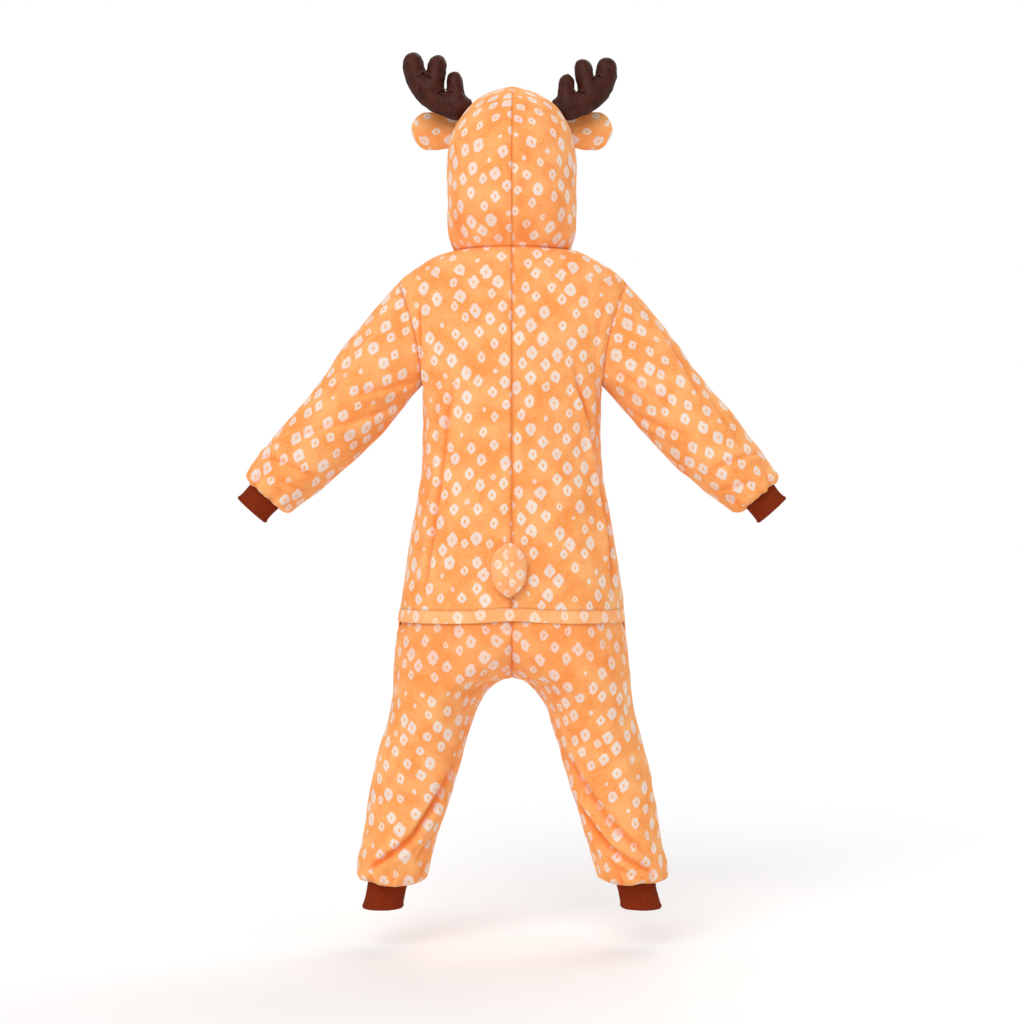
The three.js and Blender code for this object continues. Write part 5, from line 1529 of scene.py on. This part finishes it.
def fleece_look():
    look, tree, shader = new_look("dappled fleece", 0.95, 0.05, 0.4, 0.1, 0.35)
    cut = add(tree, "ShaderNodeUVMap", uv_map="cut").outputs["UV"]
    pale, heart = dapple(tree, cut)
    cloudy = add(tree, "ShaderNodeTexNoise", noise_dimensions="2D", inputs={
        "Vector": cut, "Scale": 26.0, "Detail": 3.0, "Roughness": 0.55})
    slant = add(tree, "ShaderNodeMapping", inputs={
        "Vector": cut, "Rotation": (0, 0, math.radians(52)), "Scale": (190.0, 560.0, 1.0)})
    pile = add(tree, "ShaderNodeTexNoise", noise_dimensions="2D", inputs={
        "Vector": slant.outputs["Vector"], "Scale": 1.0, "Detail": 2.0, "Roughness": 0.6})
    ground = blend(tree, step_between(tree, cloudy.outputs["Fac"], 0.25, 0.75),
                   screen("F38F45"), screen("FAAA6A"))
    ground = blend(tree, maths(tree, "MULTIPLY", step_between(tree, pile.outputs["Fac"], 0.3, 0.7), 0.24),
                   ground, screen("FFC48C"))
    dots = blend(tree, step_between(tree, cloudy.outputs["Fac"], 0.35, 0.65),
                 screen("E5CABD"), screen("EAD5C9"))
    colour = blend(tree, pale, ground, dots)
    colour = blend(tree, maths(tree, "MULTIPLY", heart, pale), colour, screen("F5A55A"))
    # Painted shade: the crease mark deepens the orange in fold hollows, seams, the tail's centre seam and
    # under the flap
    crease = add(tree, "ShaderNodeAttribute", attribute_name="crease").outputs["Fac"]
    colour = blend(tree, maths(tree, "MULTIPLY", crease, 0.62), colour, screen("F26E1E"))
    # Painted highlight: the rim mark lightens the flap hem, the tail and the tail's edge
    rim = add(tree, "ShaderNodeAttribute", attribute_name="rim").outputs["Fac"]
    colour = blend(tree, maths(tree, "MULTIPLY", rim, 0.55), colour, screen("FFD3A4"))
    wrong = add(tree, "ShaderNodeAttribute", attribute_name="wrong_side").outputs["Fac"]
    colour = blend(tree, maths(tree, "MULTIPLY", wrong, 0.62), colour, screen("F3C49C"))
    tree.links.new(colour, shader.inputs["Base Color"])
    fluff = add(tree, "ShaderNodeTexNoise", noise_dimensions="2D", inputs={
        "Vector": cut, "Scale": 900.0, "Detail": 2.0, "Roughness": 0.6})
    height = maths(tree, "ADD", maths(tree, "MULTIPLY", pile.outputs["Fac"], 0.7),
                   maths(tree, "MULTIPLY", fluff.outputs["Fac"], 0.5))
    bump(tree, shader, height, 0.0005, 0.35)
    return look


# %% Rib knit, velour, plush, plastic and thread
def rib_look():
    look, tree, shader = new_look("rib knit", 0.95, 0.0, 0.5, 0.08)
    cut = add(tree, "ShaderNodeUVMap", uv_map="cut").outputs["UV"]
    valley = add(tree, "ShaderNodeAttribute", attribute_name="valley").outputs["Fac"]
    loops = add(tree, "ShaderNodeTexWave", wave_type="BANDS", bands_direction="Y", inputs={
        "Vector": cut, "Scale": 105.0, "Distortion": 1.5, "Detail": 1.0, "Detail Scale": 3.0})
    cloudy = add(tree, "ShaderNodeTexNoise", noise_dimensions="2D", inputs={
        "Vector": cut, "Scale": 60.0, "Detail": 3.0, "Roughness": 0.6})
    colour = blend(tree, cloudy.outputs["Fac"], screen("74270F"), screen("863113"))
    # Painted shade: the valleys between the ribs are darkened
    colour = blend(tree, maths(tree, "MULTIPLY", valley, 0.55), colour, screen("561A07"))
    tree.links.new(colour, shader.inputs["Base Color"])
    bump(tree, shader, loops.outputs["Fac"], 0.0003, 0.5)
    return look


def velour_look():
    look, tree, shader = new_look("antler velour", 0.5, 0.06, 0.3, 0.16)
    place = add(tree, "ShaderNodeTexCoord").outputs["Object"]
    brushed = add(tree, "ShaderNodeTexNoise", inputs={"Vector": place, "Scale": 55.0, "Detail": 3.0,
                                                      "Roughness": 0.6, "Distortion": 0.6})
    pile = add(tree, "ShaderNodeTexNoise", inputs={"Vector": place, "Scale": 1500.0, "Detail": 2.0})
    pressed = add(tree, "ShaderNodeAttribute", attribute_name="pressed").outputs["Fac"]
    colour = blend(tree, step_between(tree, brushed.outputs["Fac"], 0.3, 0.7),
                   screen("33120A"), screen("481C10"))
    colour = blend(tree, maths(tree, "MULTIPLY", step_between(tree, pile.outputs["Fac"], 0.4, 0.8), 0.3),
                   colour, screen("5A2A1C"))
    # Painted shade: the velour darkens nearly to black in its pressed creases and edge groove
    colour = blend(tree, maths(tree, "MULTIPLY", pressed, 0.8), colour, screen("120402"))
    tree.links.new(colour, shader.inputs["Base Color"])
    bump(tree, shader, pile.outputs["Fac"], 0.0004, 0.4)
    return look


def plush_look():
    look, tree, shader = new_look("ear plush", 0.95, 0.4, 0.5, 0.15)
    cut = add(tree, "ShaderNodeUVMap", uv_map="cut").outputs["UV"]
    tufts = add(tree, "ShaderNodeTexNoise", noise_dimensions="2D", inputs={
        "Vector": cut, "Scale": 420.0, "Detail": 3.0, "Roughness": 0.65})
    colour = blend(tree, tufts.outputs["Fac"], screen("D9CBC2"), screen("F3ECE6"))
    tree.links.new(colour, shader.inputs["Base Color"])
    bump(tree, shader, tufts.outputs["Fac"], 0.0009, 0.6)
    return look


def plastic_look():
    look, tree, shader = new_look("button plastic", 0.38, 0.0, 0.5, 0.5)
    place = add(tree, "ShaderNodeTexCoord").outputs["Object"]
    swirl = add(tree, "ShaderNodeTexNoise", inputs={"Vector": place, "Scale": 160.0, "Detail": 2.0,
                                                    "Distortion": 1.5})
    fine = add(tree, "ShaderNodeTexNoise", inputs={"Vector": place, "Scale": 2600.0, "Detail": 1.0})
    colour = blend(tree, swirl.outputs["Fac"], screen("4E2012"), screen("6E3520"))
    tree.links.new(colour, shader.inputs["Base Color"])
    bump(tree, shader, fine.outputs["Fac"], 0.0001, 0.15)
    return look


def thread_look(name, dark, light):
    look, tree, shader = new_look(name, 0.55, 0.1, 0.5, 0.4)
    place = add(tree, "ShaderNodeTexCoord").outputs["Object"]
    twist = add(tree, "ShaderNodeTexWave", wave_type="BANDS", bands_direction="DIAGONAL", inputs={
        "Vector": place, "Scale": 900.0, "Distortion": 1.0})
    colour = blend(tree, twist.outputs["Fac"], screen(dark), screen(light))
    tree.links.new(colour, shader.inputs["Base Color"])
    bump(tree, shader, twist.outputs["Fac"], 0.0001, 0.4)
    return look


def dress(pieces, look):
    for piece in pieces:
        piece.data.materials.clear()
        piece.data.materials.append(look)


fleece_stuff, rib_stuff, velour_stuff = fleece_look(), rib_look(), velour_look()
plush_stuff, plastic_stuff = plush_look(), plastic_look()
orange_thread = thread_look("orange thread", "E98A45", "F6A867")
brown_thread = thread_look("brown thread", "3A170C", "5A2A1A")
dress(fleece_pieces, fleece_stuff)
dress(rib_pieces, rib_stuff)
dress(antler_pieces, velour_stuff)
dress(ear_fronts, plush_stuff)
dress(buttons, plastic_stuff)

# %% [markdown]
# Topstitching holds the flap's hem, the button band and the hood's face edge. Each line is read off
# the finished soft surface, so it dips and rises with the cloth.

# %% Topstitching
# Where the stitch lines run, in steps of each grid
BAND_STITCH = 1.4
BAND_END_STITCH = 1.5
HEM_STITCH = HEM_STEPS - 2.2
orange_stitches = stitch_tree(orange_thread)
brown_stitches = stitch_tree(brown_thread)
span = np.arange(len(band_rows), dtype=float)[2:-2]
band_sides = (BAND_STITCH, BAND_STEPS - BAND_STITCH)
band_lines = [line_on(band_outer, band_normals, span, np.full_like(span, column)) for column in band_sides]
across = np.linspace(*band_sides, 20)
band_lines.append(line_on(band_outer, band_normals, np.full_like(across, BAND_END_STITCH), across))
sew("stitches_button_band", band_lines, orange_stitches)
hem_span = np.linspace(1, hem_outer.shape[1] - 2, 400)
hem_line = line_on(hem_outer, hem_normals, np.full_like(hem_span, HEM_STITCH), hem_span)
sew("stitches_flap_hem", [hem_line], orange_stitches)
face_lines = []
for half in (left, right):
    panel = half["hood"][1]
    rows = np.arange(1, panel["outer"].shape[0] - 1, dtype=float)
    from_edge = steps_along(panel["outer"], 1)
    from_edge = from_edge[:, -1:] - from_edge
    places = np.arange(from_edge.shape[1])
    columns = np.array([float(np.interp(-FACE_HEM["deep"], -from_edge[int(r)], places)) for r in rows])
    face_lines.append(line_on(panel["outer"], panel["normals"], rows, columns))
sew("stitches_hood_edge", face_lines, orange_stitches)

thread_lines = []
for centre, outward, spots in threads:
    spots = [np.array(spot) for spot in spots]
    for a, b in ((0, 2), (1, 3)):
        raised = [mix(spots[a], spots[b], t) + outward * (0.25 + 0.5 * math.sin(math.pi * t))
                  for t in np.linspace(0, 1, 9)]
        thread_lines.append(np.array([centre + spot for spot in raised]))
sew("thread_buttons", thread_lines, brown_stitches,
    {"Pitch": 0.00025, "Stitch length": 0.0008, "Thread radius": 0.00042})

# %% [markdown]
# The camera stands where the photograph's stood: level, far off, and facing the back. A pale floor
# lies about 55 mm under the cuffs.

# %% Camera, floor and lights
FLOOR_Z = -0.960
FLOOR_HALF = 30
CAMERA_PLACE = (0, 3.5, -0.359)
LENS_MM = 89.2
lens = bpy.data.cameras.new("camera")
lens.lens, lens.sensor_width = LENS_MM, 36
camera = bpy.data.objects.new("camera", lens)
scene.collection.objects.link(camera)
camera.location = CAMERA_PLACE
camera.rotation_euler = (QUARTER, 0, math.pi)
scene.camera = camera

floor_mesh = bpy.data.meshes.new("floor")
floor_corners = [(x * FLOOR_HALF, y * FLOOR_HALF, FLOOR_Z) for x, y in ((-1, -1), (1, -1), (1, 1), (-1, 1))]
floor_mesh.from_pydata(floor_corners, [], [(0, 1, 2, 3)])
floor = bpy.data.objects.new("floor", floor_mesh)
scene.collection.objects.link(floor)
floor_look = bpy.data.materials.new("studio floor")
floor_look.use_nodes = True
floor_shader = floor_look.node_tree.nodes["Principled BSDF"]
floor_shader.inputs["Base Color"].default_value = (0.94, 0.94, 0.94, 1)
floor_shader.inputs["Roughness"].default_value = 0.9
floor_mesh.materials.append(floor_look)

world = bpy.data.worlds.new("studio")
world.use_nodes = True
sky = world.node_tree
seen = add(sky, "ShaderNodeLightPath").outputs["Is Camera Ray"]
backdrop = sky.nodes["Background"]
backdrop.inputs["Color"].default_value = (1, 1, 1, 1)
brightness = add(sky, "ShaderNodeMapRange", inputs={"Value": seen, "To Min": 0.64, "To Max": 1.0})
sky.links.new(brightness.outputs["Result"], backdrop.inputs["Strength"])
scene.world = world


def studio_sun(name, towards, spread, strength):
    """A large distant soft box, so the floor is lit evenly; towards is the way its light travels."""
    lamp = bpy.data.lights.new(name, "SUN")
    lamp.angle, lamp.energy = math.radians(spread), strength
    holder = bpy.data.objects.new(name, lamp)
    scene.collection.objects.link(holder)
    holder.rotation_euler = Vector(towards).to_track_quat("-Z", "Y").to_euler()


studio_sun("key", (-0.24, -0.82, -0.52), 40, 1.5)
studio_sun("front fill", (0.35, 0.8, -0.7), 60, 1.0)
